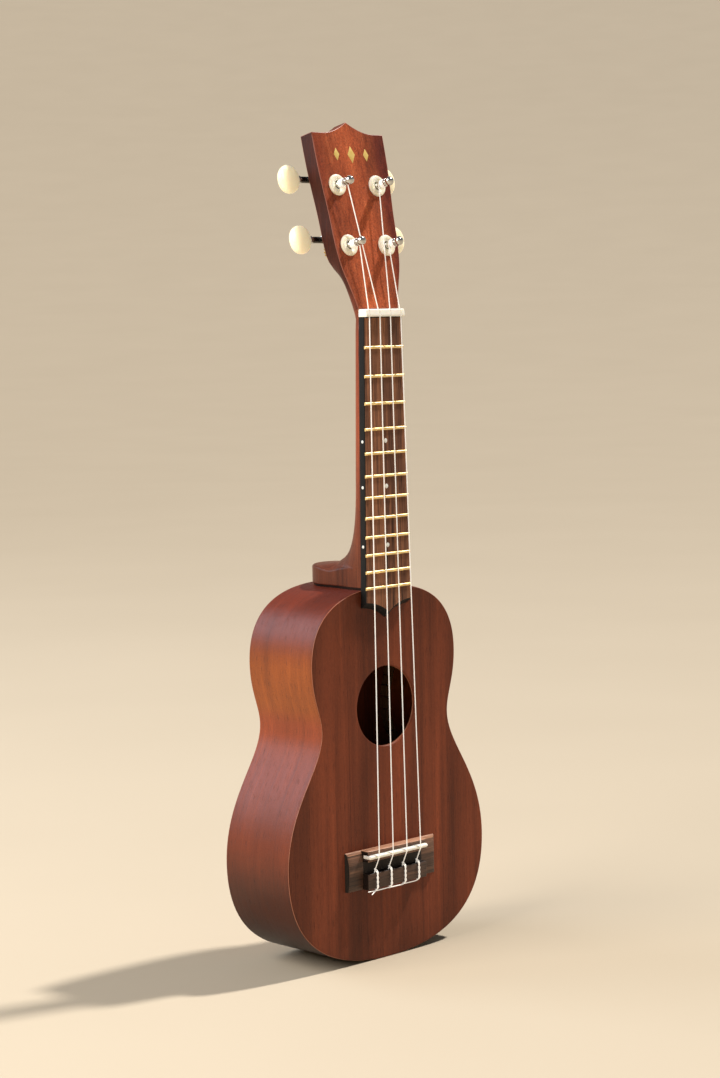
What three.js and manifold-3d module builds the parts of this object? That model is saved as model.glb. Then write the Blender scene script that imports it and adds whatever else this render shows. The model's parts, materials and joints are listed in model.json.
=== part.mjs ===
// A soprano ukulele in millimetres: flat-backed sound box, one-piece neck with a stepped heel foot,
// twelve frets, tilted headstock with four side-mounted geared tuners, and a tie bridge.
// +Z runs up the neck from the tail, the soundboard faces -Y, and +X is the right side seen from the front.
// Drawing frame: the soundboard's outer face is y = 0 and the tail is z = 0. The last lines centre it in Y.
import * as THREE from 'three';
import { mergeVertices } from 'three/addons/utils/BufferGeometryUtils.js';
import Module from 'manifold-3d';

const wasm = await Module();
wasm.setup();

// ---------------------------------------------------------------- driving dimensions

const scaleLength = 345;
const fretCount = 12;
const nutZ = 414.7; // the nut's fretboard face, where the string length starts
const glueLine = 0.1; // gap left between glued flat faces
const clearance = 0.3; // gap left round curved or turning neighbours

// Sound box. Each station is a widest or narrowest point of the outline; above and below are how far
// the curve runs straight up and down from it, and reach is how far it runs level at the two ends.
const tail = { z: 0, reach: 50 };
const lowerBout = { x: 88.8, z: 67.4, below: 50, above: 43 };
const waist = { x: 57.0, z: 153.8, below: 23, above: 12 };
const upperBout = { x: 64.7, z: 195.0, below: 20, above: 29 };
const shoulder = { z: 242.4, reach: 46 };
const outlineSteps = 10; // straight steps in each of the four curves of a half outline
const bodyDepth = 59.3;
const plateThickness = 2;
const sideThickness = 2;
const soundHole = { z: 164.5, radius: 25.9 };
const lining = { width: 4.5, height: 5 };
const neckBlock = { halfWidth: 25, height: 20 };
const tailBlock = { halfWidth: 20, height: 12 };
const brace = { width: 6, height: 8, tip: 2, taper: 12 };
const soundboardBraces = [['upper', 207, 54], ['lower', 130, 56]]; // name, z, half length
const backBraces = [['upper', 200, 55], ['lower', 84, 78]];
const bridgePlate = { halfWidth: 42, bottom: 46, top: 77, thickness: 2 };

// Neck and headstock. The headstock frame starts at the nut, u runs up its face and depth goes into it.
const nutHalfWidth = 17.05;
const bodyJoinHalfWidth = 20.5;
const neckDepthAtNut = 10.3; // below the fretboard
const neckDepthAtHeel = 12.8;
const heel = { topZ: 312, footZ: 254.6, reach: 33, sharpness: 2.5 };
const foot = { halfWidth: 20, straight: 37.5, topZ: 255.3, bevel: 1.4, sink: 8 };
const bodySeam = 0.2; // gap between the neck and the sound box
const headTilt = THREE.MathUtils.degToRad(12.6);
const headFront = -2; // the headstock face's y at the nut
const headThickness = 10.75;
const throat = { roundUntil: 20, squareFrom: 42 }; // u where the back edges start and stop being rounded
const headSide = [[17.05, 0], [17.9, 6], [21.6, 19], [26, 33], [28.1, 48], [28.9, 68], [30.8, 92],
  [31.4, 108], [31.5, 122]]; // half width and u
const crest = { cornerU: 120, shoulderX: 22, controlX: 12, tipU: 127.4 };

// Fretboard, nut and frets
const boardThickness = 4.45;
const boardEnd = { cornerZ: 232.7, controlX: 8, controlZ: 232, tipZ: 225, slope: 3 }; // slope: at its foot
const fret = { width: 2, height: 1, tang: 0.5, slot: 0.9, depth: 1.5 };
const nut = { thickness: 4.9, top: 7.4, notchFloor: 5.1, notchMargin: 0.55 };

// Strings, with index 0 on the bass side (-X)
const stringRadius = 0.35;
const nutSpread = 14.05; // outer strings from the centre line
const saddleSpread = 18.98;
const stringAtNut = 6.65; // height above the soundboard plane
const stringAtSaddle = 10.15;
const stringSaddleZ = 69.4;

// Bridge
const bridge = { bottom: 48.8, top: 74, halfLength: 40.3, blockHalfLength: 26.7, height: 7.5,
  tieTop: 59.2 };
const wingProfile = [[2.3, 48.8], [2.7, 53], [2.9, 60], [2.8, 66.5], [2.4, 70], [1.8, 72.6],
  [1, 74]]; // height and z
const wingBevel = { from: 1, size: 2.5 }; // the ends lean in above this height
const channel = { floor: 3, top: 67 };
const saddleSlot = { bottom: 68.55, top: 71.45, floor: 3.4 };
const saddle = { z: 70, thickness: 2.7, halfLength: 26.6, height: 9.6 };
const tieHole = { height: 5.3, radius: 1 };

// Tuners, in a frame at each post: x outwards, depth behind the headstock face, u up the headstock
const postPlaces = [
  { label: '1', side: -1, x: 16.7, u: 46.4, stringHeight: 7.4, slot: 0 },
  { label: '2', side: -1, x: 17.6, u: 85.6, stringHeight: 7, slot: 1 },
  { label: '3', side: 1, x: 17.6, u: 85.6, stringHeight: 5, slot: 2 },
  { label: '4', side: 1, x: 16.7, u: 46.4, stringHeight: 5, slot: 3 },
];
const post = { ball: 3, ballHeight: 12, neck: 1.7, shank: 1.9, journal: 2.2, stub: 1.4 };
const flange = { radius: 2.5, front: 9.1, back: 8.5, blend: 0.4 }; // on the post, below its ball
const bushing = { radius: 6.9, height: 2.1, bore: 2.6, rim: 0.9, crown: 2.2, sleeve: 3.3, sleeveDepth: 4 };
const headHoleRadius = 3.6;
const worm = { depth: 16.6, offset: 7.8, radius: 2.2, halfLength: 4.3, journal: 1.5 };
const shaft = { radius: 2.1, ferrule: 2.6, ferruleLength: 1.5, ferruleChamfer: 0.3, tip: 1.2, gap: 0.4 };
const gear = { teeth: 14, outer: 5.1, root: 4.2, rootShare: 0.34, tipShare: 0.14, thickness: 3, bore: 1.7 };
const ear = { inner: 4.6, thickness: 1, from: 5.2, to: 10.6, height: 19.2, hole: 1.8 };
const tunerPlate = { halfWidth: 6.6, bottom: -7.5, top: 14, endRise: 4, topFall: 3, thickness: 0.8,
  screwU: [-5.2, 12], screwRadius: 0.9 };
const button = { centre: 25, halfLength: 7, halfDepth: 5, halfHeight: 9.2, fullness: 2.4, bore: 1.5,
  boreDepth: 9 };

const roundSides = 12; // sides of every turned piece
const beyond = 400; // reach of the cutting shapes that have to pass right through

// ---------------------------------------------------------------- finishes

const mahogany = { color: 0x7a4230, roughness: 0.5, metalness: 0 };
const neckWood = { color: 0x84482f, roughness: 0.5, metalness: 0 };
const spruce = { color: 0xc9a878, roughness: 0.75, metalness: 0 };
const walnut = { color: 0x4a3028, roughness: 0.55, metalness: 0 };
const fretboardWood = { color: 0x5a3626, roughness: 0.55, metalness: 0 };
const bone = { color: 0xf0ebdc, roughness: 0.4, metalness: 0 };
const brass = { color: 0xd0a850, roughness: 0.3, metalness: 1 };
const chrome = { color: 0xc8c8ca, roughness: 0.15, metalness: 1 };
const cream = { color: 0xe8dcb4, roughness: 0.35, metalness: 0 };
const nylon = { color: 0xf2f0ea, roughness: 0.35, metalness: 0 };

// ---------------------------------------------------------------- geometry helpers

const X = new THREE.Vector3(1, 0, 0);
const Y = new THREE.Vector3(0, 1, 0);
const Z = new THREE.Vector3(0, 0, 1);

function part(name, geometry, finish) {
  const mesh = new THREE.Mesh(geometry, new THREE.MeshStandardMaterial(finish));
  mesh.name = name;
  return mesh;
}

// A closed geometry as a manifold solid, with its shared vertices merged.
function solid(geometry) {
  const bare = geometry.clone();
  bare.deleteAttribute('normal');
  bare.deleteAttribute('uv');
  const merged = mergeVertices(bare, 1e-4);
  const triVerts = new Uint32Array(merged.index.array);
  const vertProperties = new Float32Array(merged.attributes.position.array);
  return new wasm.Manifold(new wasm.Mesh({ numProp: 3, vertProperties, triVerts }));
}

function geometryOf(manifold) {
  const mesh = manifold.getMesh();
  const geometry = new THREE.BufferGeometry();
  geometry.setAttribute('position', new THREE.BufferAttribute(mesh.vertProperties, 3));
  geometry.setIndex(new THREE.BufferAttribute(mesh.triVerts, 1));
  geometry.computeVertexNormals();
  return geometry;
}

function cut(geometry, ...tools) {
  const result = tools.reduce((left, tool) => left.subtract(solid(tool)), solid(geometry));
  return geometryOf(result);
}

function join(...geometries) {
  return geometryOf(geometries.map(solid).reduce((left, right) => left.add(right)));
}

function common(geometry, other) {
  return geometryOf(solid(geometry).intersect(solid(other)));
}

function shapeOf(points) {
  return new THREE.Shape(points.map(([a, b]) => new THREE.Vector2(a, b)));
}

function extrude(shape, depth, curveSegments = 12) {
  return new THREE.ExtrudeGeometry(shape, { depth, bevelEnabled: false, curveSegments });
}

// An outline in x and z, filled between two y planes.
function plate(shape, front, back, curveSegments) {
  return extrude(shape, back - front, curveSegments).rotateX(Math.PI / 2).translate(0, back, 0);
}

// An outline in y and z, filled between two x planes.
function bar(shape, left, right) {
  const turn = new THREE.Matrix4().makeBasis(Y, Z, X);
  return extrude(shape, right - left).applyMatrix4(turn).translate(left, 0, 0);
}

function box(left, right, front, back, bottom, top) {
  const geometry = new THREE.BoxGeometry(right - left, back - front, top - bottom);
  return geometry.translate((left + right) / 2, (front + back) / 2, (bottom + top) / 2);
}

// A turned solid about Y from [radius, y] points that start and end on the axis, y rising.
function turned(points) {
  return new THREE.LatheGeometry(points.map(([r, y]) => new THREE.Vector2(r, y)), roundSides);
}

// A turned ring about Y: its section is closed and is listed anticlockwise.
function turnedRing(points) {
  return turned([...points, points[0]]);
}

// A round rod along Y between two planes.
function rod(radius, from, to) {
  return turned([[0, from], [radius, from], [radius, to], [0, to]]);
}

// A turned solid moved from the Y axis to lie along X, pointing to the given side.
function layAlongX(geometry, side) {
  return geometry.rotateZ(-side * Math.PI / 2);
}

// A closed skin through matching closed sections, with a fan over each end.
function loft(sections) {
  const count = sections[0].length;
  const points = sections.flat();
  const indices = [];
  for (let s = 0; s + 1 < sections.length; s += 1) {
    for (let i = 0; i < count; i += 1) {
      const a = s * count + i;
      const b = s * count + (i + 1) % count;
      indices.push(a, b, b + count, a, b + count, a + count);
    }
  }
  const last = (sections.length - 1) * count;
  for (let i = 1; i + 1 < count; i += 1) {
    indices.push(0, i + 1, i);
    indices.push(last, last + i, last + i + 1);
  }
  const geometry = new THREE.BufferGeometry().setFromPoints(points);
  geometry.setIndex(indices);
  geometry.computeVertexNormals();
  return geometry;
}

// A round tube through a chain of points, mitred at each of them.
function tube(points, radius, sides = 8) {
  const sections = points.map((point, i) => {
    const before = i > 0 ? point.clone().sub(points[i - 1]).normalize() : new THREE.Vector3();
    const after = points[i + 1] ? points[i + 1].clone().sub(point).normalize() : new THREE.Vector3();
    const along = before.add(after).normalize();
    const across = new THREE.Vector3().crossVectors(X, along).normalize();
    const up = new THREE.Vector3().crossVectors(along, across);
    return Array.from({ length: sides }, (_, k) => {
      const angle = 2 * Math.PI * k / sides;
      const ring = across.clone().multiplyScalar(Math.cos(angle) * radius);
      return ring.addScaledVector(up, Math.sin(angle) * radius).add(point);
    });
  });
  return loft(sections);
}

// ---------------------------------------------------------------- body outline

// The right half of the outline from the tail to the neck, moved inwards by the inset.
function halfOutline(inset = 0) {
  const stations = [
    [0, tail.z, tail.reach, tail.z],
    [lowerBout.x, lowerBout.z - lowerBout.below, lowerBout.x, lowerBout.z],
    [lowerBout.x, lowerBout.z + lowerBout.above, waist.x, waist.z - waist.below],
    [waist.x, waist.z, waist.x, waist.z + waist.above],
    [upperBout.x, upperBout.z - upperBout.below, upperBout.x, upperBout.z],
    [upperBout.x, upperBout.z + upperBout.above, shoulder.reach, shoulder.z],
    [0, shoulder.z],
  ];
  const knots = stations.flat();
  const points = [];
  for (let k = 0; k + 6 < knots.length; k += 6) {
    const [a, b, c, d] = [0, 2, 4, 6].map((j) => new THREE.Vector2(knots[k + j], knots[k + j + 1]));
    const curve = new THREE.CubicBezierCurve(a, b, c, d);
    for (let i = k ? 1 : 0; i <= outlineSteps; i += 1) {
      const t = i / outlineSteps;
      const tangent = curve.getTangent(t);
      const point = curve.getPoint(t);
      points.push([point.x - inset * tangent.y, point.y + inset * tangent.x]);
    }
  }
  return points;
}

function fullOutline(inset = 0) {
  const right = halfOutline(inset);
  const left = right.slice(1, -1).reverse().map(([x, z]) => [-x, z]);
  return shapeOf([...right, ...left]);
}

// A bent strip between two insets on one side, over the stretch where the test on x and z holds.
function outlineStrip(side, outer, inner, keeps) {
  const outside = halfOutline(outer).filter(keeps);
  const inside = halfOutline(inner).filter(keeps);
  return shapeOf([...outside, ...inside.reverse()].map(([x, z]) => [side * Math.max(x, 0.15), z]));
}

// ---------------------------------------------------------------- sound box

const innerFront = plateThickness + glueLine;
const innerBack = bodyDepth - plateThickness - glueLine;
const blockInset = sideThickness + clearance;

function makePlates() {
  const soundboard = fullOutline();
  const hole = new THREE.Path().absarc(0, soundHole.z, soundHole.radius, 0, 2 * Math.PI);
  soundboard.holes.push(hole);
  return [
    part('soundboard', plate(soundboard, 0, plateThickness, 24), mahogany),
    part('back', plate(fullOutline(), bodyDepth - plateThickness, bodyDepth), mahogany),
  ];
}

function makeSides() {
  return [['bass', -1], ['treble', 1]].map(([name, side]) => {
    const strip = outlineStrip(side, 0, sideThickness, () => true);
    return part(`side_${name}`, plate(strip, innerFront, innerBack), mahogany);
  });
}

function makeBlocks() {
  const inside = plate(fullOutline(blockInset), 0, bodyDepth);
  const neckEnd = shoulder.z - sideThickness;
  const tailEnd = tailBlock.height + sideThickness;
  const neckBox = box(-neckBlock.halfWidth, neckBlock.halfWidth, innerFront, innerBack,
    neckEnd - neckBlock.height, shoulder.z);
  const tailBox = box(-tailBlock.halfWidth, tailBlock.halfWidth, innerFront, innerBack, -1, tailEnd);
  return [
    part('neck_block', common(neckBox, inside), spruce),
    part('tail_block', common(tailBox, inside), spruce),
  ];
}

function makeLinings() {
  const middle = shoulder.z / 2;
  const clearOfBlocks = ([x, z]) => x > (z > middle ? neckBlock : tailBlock).halfWidth + 1;
  const levels = [['front', innerFront, innerFront + lining.height],
    ['back', innerBack - lining.height, innerBack]];
  return levels.flatMap(([level, front, back]) => [['bass', -1], ['treble', 1]].map(([name, side]) => {
    const strip = outlineStrip(side, blockInset, blockInset + lining.width, clearOfBlocks);
    return part(`lining_${level}_${name}`, plate(strip, front, back), spruce);
  }));
}

// A brace glued to the plane y = base that stands in the given direction, with its ends tapered off.
function braceBar(base, direction, z, halfLength) {
  const tip = base + direction * brace.tip;
  const crown = base + direction * brace.height;
  const shape = shapeOf([[-halfLength, base], [halfLength, base], [halfLength, tip],
    [halfLength - brace.taper, crown], [brace.taper - halfLength, crown], [-halfLength, tip]]);
  return extrude(shape, brace.width).translate(0, 0, z - brace.width / 2);
}

function makeBraces() {
  const front = soundboardBraces.map(([name, z, halfLength]) => (
    part(`soundboard_brace_${name}`, braceBar(innerFront, 1, z, halfLength), spruce)));
  const back = backBraces.map(([name, z, halfLength]) => (
    part(`back_brace_${name}`, braceBar(innerBack, -1, z, halfLength), spruce)));
  const patch = box(-bridgePlate.halfWidth, bridgePlate.halfWidth, innerFront,
    innerFront + bridgePlate.thickness, bridgePlate.bottom, bridgePlate.top);
  return [...front, ...back, part('bridge_plate', patch, spruce)];
}

// ---------------------------------------------------------------- neck and headstock

const headSin = Math.sin(headTilt);
const headCos = Math.cos(headTilt);
const lerp = THREE.MathUtils.lerp;

// A point given in the headstock frame.
function onHead(x, depth, u) {
  const y = headFront + u * headSin + depth * headCos;
  const z = nutZ + u * headCos - depth * headSin;
  return new THREE.Vector3(x, y, z);
}

function placeOnHead(geometry) {
  return geometry.rotateX(-headTilt).translate(0, headFront, nutZ);
}

function headHalfWidth(u) {
  const i = headSide.findIndex(([, next]) => next >= u);
  const curve = new THREE.SplineCurve(headSide.map(([x, v]) => new THREE.Vector2(v, x)));
  const last = headSide.length - 1;
  if (i < 1) return i === 0 ? headSide[0][0] : headSide[last][0];
  const share = (u - headSide[i - 1][1]) / (headSide[i][1] - headSide[i - 1][1]);
  return curve.getPoint((i - 1 + share) / last).y;
}

function shaftHalfWidth(z) {
  const bodyZ = nutZ - scaleLength / 2;
  return lerp(nutHalfWidth, bodyJoinHalfWidth, (nutZ - z) / (nutZ - bodyZ));
}

// The shaft's depth behind the fretboard, which swells into the heel as a superelliptic curve.
function shaftDepth(z) {
  const shaft = lerp(neckDepthAtNut, neckDepthAtHeel, Math.min((nutZ - z) / (nutZ - heel.topZ), 1));
  const down = Math.min(Math.max((heel.topZ - z) / (heel.topZ - heel.footZ), 0), 1);
  const swell = 1 - (1 - down ** heel.sharpness) ** (1 / heel.sharpness);
  return shaft + heel.reach * swell;
}

// One section across the neck. Its front corners are level with the headstock face, its sides run
// straight back to the fretboard's underside, and its back runs from a half ellipse to a square.
function neckSection({ z, y, tilt, halfWidth, depth, square }) {
  const straight = -headFront;
  const steps = 16;
  const half = [[halfWidth, 0]];
  for (let i = 0; i <= steps; i += 1) {
    const angle = Math.PI * i / steps;
    const across = THREE.MathUtils.clamp(2 - 4 * i / steps, -1, 1);
    const down = Math.min(1, 2 - Math.abs(2 - 4 * i / steps));
    const x = halfWidth * lerp(Math.cos(angle), across, square);
    half.push([x, straight + (depth - straight) * lerp(Math.sin(angle), down, square)]);
  }
  half.push([-halfWidth, 0]);
  return half.map(([x, d]) => new THREE.Vector3(x, y + d * Math.cos(tilt), z - d * Math.sin(tilt)));
}

function shaftStations() {
  const heights = [];
  for (let z = shoulder.z + 1.6; z < heel.footZ + 24; z += 4) heights.push(z);
  for (let z = heel.footZ + 27; z < nutZ - 12; z += 15) heights.push(z);
  return heights.map((z) => ({
    z,
    y: headFront,
    tilt: 0,
    halfWidth: shaftHalfWidth(z),
    depth: shaftDepth(z) - headFront,
    square: 0,
  }));
}

function headStations() {
  const heights = [0, 5, 10, 15, 20, 25, 30, 36, 42, 48, 58, 68, 80, 92, 108, 130];
  return heights.map((u) => ({
    z: nutZ + u * headCos,
    y: headFront + u * headSin,
    tilt: headTilt,
    halfWidth: headHalfWidth(u),
    depth: lerp(neckDepthAtNut - headFront, headThickness, Math.min(u / throat.roundUntil, 1)),
    square: THREE.MathUtils.smoothstep(u, throat.roundUntil, throat.squareFrom),
  }));
}

function makeNeck() {
  const blank = loft([...shaftStations(), ...headStations()].map(neckSection));
  const footShape = new THREE.Shape();
  footShape.moveTo(-foot.halfWidth, headFront);
  footShape.lineTo(foot.halfWidth, headFront);
  footShape.lineTo(foot.halfWidth, foot.straight);
  footShape.absarc(0, foot.straight, foot.halfWidth, 0, Math.PI);
  const footBottom = shoulder.z - foot.sink;
  const footBlock = new THREE.ExtrudeGeometry(footShape, {
    depth: foot.topZ - foot.bevel - footBottom,
    bevelThickness: foot.bevel,
    bevelSize: foot.bevel,
    bevelOffset: -foot.bevel,
    bevelSegments: 3,
    curveSegments: 9,
  });
  footBlock.translate(0, 0, footBottom);
  const crestShape = new THREE.Shape();
  crestShape.moveTo(-beyond, -beyond);
  crestShape.lineTo(beyond, -beyond);
  crestShape.lineTo(beyond, crest.cornerU);
  crestShape.lineTo(crest.shoulderX, crest.cornerU);
  crestShape.quadraticCurveTo(crest.controlX, crest.cornerU, 0, crest.tipU);
  crestShape.quadraticCurveTo(-crest.controlX, crest.cornerU, -crest.shoulderX, crest.cornerU);
  crestShape.lineTo(-beyond, crest.cornerU);
  const withCrest = common(join(blank, footBlock), placeOnHead(plate(crestShape, -beyond, beyond)));
  const nutTop = nutZ + nut.thickness + glueLine;
  const boardBed = box(-beyond, beyond, -beyond, 0, shoulder.z - beyond, nutTop);
  const body = plate(fullOutline(-bodySeam), -beyond, beyond);
  const postHoles = postPlaces.map(({ side, x, u }) => (
    placeOnHead(rod(headHoleRadius, -beyond, beyond).translate(side * x, 0, u))));
  return part('neck', cut(withCrest, boardBed, body, ...postHoles), neckWood);
}

// ---------------------------------------------------------------- fretboard, frets and nut

const boardFront = -(boardThickness + glueLine);

function fretZ(number) {
  return nutZ - scaleLength * (1 - 2 ** (-number / 12));
}

function makeFretboard() {
  const outline = new THREE.Shape();
  const corner = shaftHalfWidth(boardEnd.cornerZ);
  const beyondNut = nutZ + 20;
  outline.moveTo(shaftHalfWidth(beyondNut), beyondNut);
  outline.lineTo(-shaftHalfWidth(beyondNut), beyondNut);
  outline.lineTo(-corner, boardEnd.cornerZ);
  outline.quadraticCurveTo(-boardEnd.controlX, boardEnd.controlZ, 0, boardEnd.tipZ);
  outline.quadraticCurveTo(boardEnd.controlX, boardEnd.controlZ, corner, boardEnd.cornerZ);
  const floor = boardFront + fret.depth + clearance;
  const foot = boardEnd.tipZ - boardEnd.slope - 1;
  const profile = [[-glueLine, foot], [boardFront, foot]];
  for (let number = fretCount; number > 0; number -= 1) {
    const low = fretZ(number) - fret.slot / 2;
    const high = fretZ(number) + fret.slot / 2;
    profile.push([boardFront, low], [floor, low], [floor, high], [boardFront, high]);
  }
  profile.push([boardFront, nutZ - glueLine], [-glueLine, nutZ - glueLine]);
  const slotted = bar(shapeOf(profile), -beyond, beyond);
  const lean = -boardEnd.slope / boardThickness;
  const sloped = plate(outline, -boardThickness * 2, boardThickness, 8)
    .applyMatrix4(new THREE.Matrix4().makeShear(0, 0, 0, lean, 0, 0))
    .translate(0, 0, -lean * boardFront);
  const board = common(slotted, sloped);
  return part('fretboard', board, fretboardWood);
}

function makeFrets() {
  const base = boardFront - 0.05;
  const crown = [];
  for (let i = 0; i <= 6; i += 1) {
    const angle = Math.PI * i / 6;
    crown.push([base - fret.height * Math.sin(angle), -Math.cos(angle) * fret.width / 2]);
  }
  const tang = [[base, fret.tang / 2], [base + fret.depth, fret.tang / 2],
    [base + fret.depth, -fret.tang / 2], [base, -fret.tang / 2]];
  const section = shapeOf([...crown, ...tang]);
  return Array.from({ length: fretCount }, (_, i) => {
    const z = fretZ(i + 1);
    const halfLength = shaftHalfWidth(z) - 0.15;
    const name = `fret_${String(i + 1).padStart(2, '0')}`;
    return part(name, bar(section, -halfLength, halfLength).translate(0, 0, z), brass);
  });
}

// The x of a string where the outer two stand at plus and minus the spread.
function stringX(index, spread) {
  return spread * (2 * index / 3 - 1);
}

// Each string runs from its post over the nut and saddle, then down through its hole in the tie block.
function stringRoute({ side, x, u, stringHeight, slot }) {
  const saddleX = stringX(slot, saddleSpread);
  const offPost = post.shank + clearance + stringRadius;
  return [
    onHead(side * (x - offPost), -stringHeight, u),
    new THREE.Vector3(stringX(slot, nutSpread), -stringAtNut, nutZ),
    new THREE.Vector3(saddleX, -stringAtSaddle, stringSaddleZ),
    new THREE.Vector3(saddleX, -tieHole.height, bridge.tieTop + 1),
    new THREE.Vector3(saddleX, -tieHole.height, bridge.bottom - 0.6),
  ];
}

// The nut's notches are as wide as the strings' slant across it needs.
function makeNut() {
  const halfWidth = nutHalfWidth + 0.1;
  const outline = [[-halfWidth, -glueLine], [-halfWidth, -nut.top]];
  postPlaces.forEach((place) => {
    const [atPost, atNut] = stringRoute(place);
    const drift = (atPost.x - atNut.x) * nut.thickness / (atPost.z - atNut.z);
    const left = atNut.x + Math.min(drift, 0) - nut.notchMargin;
    const right = atNut.x + Math.max(drift, 0) + nut.notchMargin;
    outline.push([left, -nut.top], [left, -nut.notchFloor], [right, -nut.notchFloor], [right, -nut.top]);
  });
  outline.push([halfWidth, -nut.top], [halfWidth, -glueLine]);
  return part('nut', extrude(shapeOf(outline), nut.thickness).translate(0, 0, nutZ), bone);
}

// ---------------------------------------------------------------- bridge, saddle and strings

function makeBridge() {
  const under = -glueLine;
  const front = -bridge.height;
  const block = shapeOf([[under, bridge.bottom], [front, bridge.bottom], [front, bridge.tieTop],
    [-channel.floor, bridge.tieTop], [-channel.floor, channel.top], [front, channel.top],
    [front, saddleSlot.bottom], [-saddleSlot.floor, saddleSlot.bottom], [-saddleSlot.floor, saddleSlot.top],
    [front, saddleSlot.top], [front, bridge.top], [under, bridge.top]]);
  const wing = shapeOf([[under, bridge.bottom], ...wingProfile.map(([height, z]) => [-height, z]),
    [under, bridge.top]]);
  const wings = [-1, 1].map((side) => {
    const edge = side * bridge.halfLength;
    const top = -wingBevel.from - wingBevel.size;
    const bevelled = shapeOf([[0, under], [edge, under], [edge, -wingBevel.from],
      [edge - side * wingBevel.size, top], [0, top]]);
    const plan = extrude(bevelled, bridge.top - bridge.bottom + 2).translate(0, 0, bridge.bottom - 1);
    const ends = [side * (bridge.blockHalfLength - 0.5), edge].sort((a, b) => a - b);
    return common(bar(wing, ends[0], ends[1]), plan);
  });
  const holes = [0, 1, 2, 3].map((index) => {
    const hole = rod(tieHole.radius, bridge.bottom - 2, bridge.tieTop + 2).rotateX(Math.PI / 2);
    return hole.translate(stringX(index, saddleSpread), -tieHole.height, 0);
  });
  const whole = join(bar(block, -bridge.blockHalfLength, bridge.blockHalfLength), ...wings);
  return part('bridge', cut(whole, ...holes), walnut);
}

function makeSaddle() {
  const radius = saddle.thickness / 2;
  const centre = radius - saddle.height;
  const section = [[-saddleSlot.floor - glueLine, saddle.z + radius]];
  section.push([-saddleSlot.floor - glueLine, saddle.z - radius]);
  for (let i = 0; i <= 6; i += 1) {
    const angle = Math.PI * i / 6;
    section.push([centre - radius * Math.sin(angle), saddle.z - radius * Math.cos(angle)]);
  }
  return part('saddle', bar(shapeOf(section), -saddle.halfLength, saddle.halfLength), bone);
}

function makeStrings() {
  return postPlaces.map((place) => (
    part(`string_${place.label}`, tube(stringRoute(place), stringRadius), nylon)));
}

// ---------------------------------------------------------------- tuners

function makeBushing() {
  const { radius, height, bore, rim, crown, sleeve, sleeveDepth } = bushing;
  const front = -height;
  return turnedRing([[bore, sleeveDepth], [bore, front + rim], [bore + rim, front + rim / 3],
    [bore + crown, front], [radius - rim, front + glueLine], [radius, front + rim],
    [radius, -glueLine], [sleeve, -glueLine], [sleeve, sleeveDepth]]);
}

function makePost() {
  const { ball, ballHeight, neck, shank, journal, stub } = post;
  const { radius, front, back, blend } = flange;
  const gearFace = worm.depth - gear.thickness / 2 - glueLine;
  const stubEnd = worm.depth + gear.thickness / 2 + 1;
  const profile = [[0, -ballHeight - ball]];
  const ballSteps = 5;
  const ballTurn = Math.PI - Math.asin(neck / ball);
  for (let i = 1; i <= ballSteps; i += 1) {
    const angle = ballTurn * i / ballSteps;
    profile.push([ball * Math.sin(angle), -ballHeight - ball * Math.cos(angle)]);
  }
  profile.push([radius, -front], [radius, -back], [shank, -back + blend], [shank, -bushing.height]);
  profile.push([journal, -bushing.height + blend], [journal, gearFace]);
  profile.push([stub, gearFace], [stub, stubEnd], [0, stubEnd]);
  return turned(profile);
}

function makeGear() {
  const { teeth, outer, root, rootShare, tipShare } = gear;
  const tooth = [[root, -rootShare], [outer, -tipShare], [outer, tipShare], [root, rootShare]];
  const points = Array.from({ length: teeth }, (_, turn) => tooth.map(([r, share]) => {
    const angle = 2 * Math.PI * (turn + share) / teeth;
    return [r * Math.cos(angle), r * Math.sin(angle)];
  }));
  const outline = shapeOf(points.flat());
  outline.holes.push(new THREE.Path().absarc(0, 0, gear.bore, 0, 2 * Math.PI));
  return plate(outline, worm.depth - gear.thickness / 2, worm.depth + gear.thickness / 2, 6);
}

function makeTunerPlate(side) {
  const { halfWidth, bottom, top, endRise, topFall, thickness, screwU, screwRadius } = tunerPlate;
  const front = headThickness + glueLine;
  const base = new THREE.Shape();
  base.moveTo(-halfWidth, bottom + endRise);
  base.quadraticCurveTo(-halfWidth, bottom, 0, bottom);
  base.quadraticCurveTo(halfWidth, bottom, halfWidth, bottom + endRise);
  base.lineTo(halfWidth, top - topFall);
  base.quadraticCurveTo(halfWidth, top, 0, top);
  base.quadraticCurveTo(-halfWidth, top, -halfWidth, top - topFall);
  base.holes.push(new THREE.Path().absarc(0, 0, post.journal + clearance, 0, 2 * Math.PI));
  screwU.forEach((u) => base.holes.push(new THREE.Path().absarc(0, u, screwRadius, 0, 2 * Math.PI)));
  const ears = [-1, 1].map((end) => {
    const near = end * ear.inner;
    const far = end * (ear.inner + ear.thickness);
    return box(Math.min(near, far), Math.max(near, far), front, ear.height, ear.from, ear.to);
  });
  const shaftHole = layAlongX(rod(ear.hole, -2 * ear.inner, 2 * ear.inner), side)
    .translate(0, worm.depth, worm.offset);
  return cut(join(plate(base, front, front + thickness, 6), ...ears), shaftHole);
}

// The worm shaft lies along X with its worm between the plate's ears, and runs out into the button.
function makeWormShaft(side) {
  const { radius, halfLength, journal } = worm;
  const { ferrule, ferruleLength, ferruleChamfer, tip, gap } = shaft;
  const shoulderAt = ear.inner + ear.thickness + clearance;
  const buttonFace = button.centre - button.halfLength;
  const ferruleEnd = buttonFace - gap;
  const ferruleStart = ferruleEnd - ferruleLength;
  const tipEnd = buttonFace + button.boreDepth - 1;
  const turning = turned([[0, -shoulderAt], [journal, -shoulderAt], [journal, -halfLength],
    [radius, -halfLength], [radius, halfLength], [journal, halfLength], [journal, shoulderAt],
    [shaft.radius, shoulderAt], [shaft.radius, ferruleStart - ferruleChamfer], [ferrule, ferruleStart],
    [ferrule, ferruleEnd], [tip, ferruleEnd], [tip, tipEnd], [0, tipEnd]]);
  return layAlongX(turning, side).translate(0, worm.depth, worm.offset);
}

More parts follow.
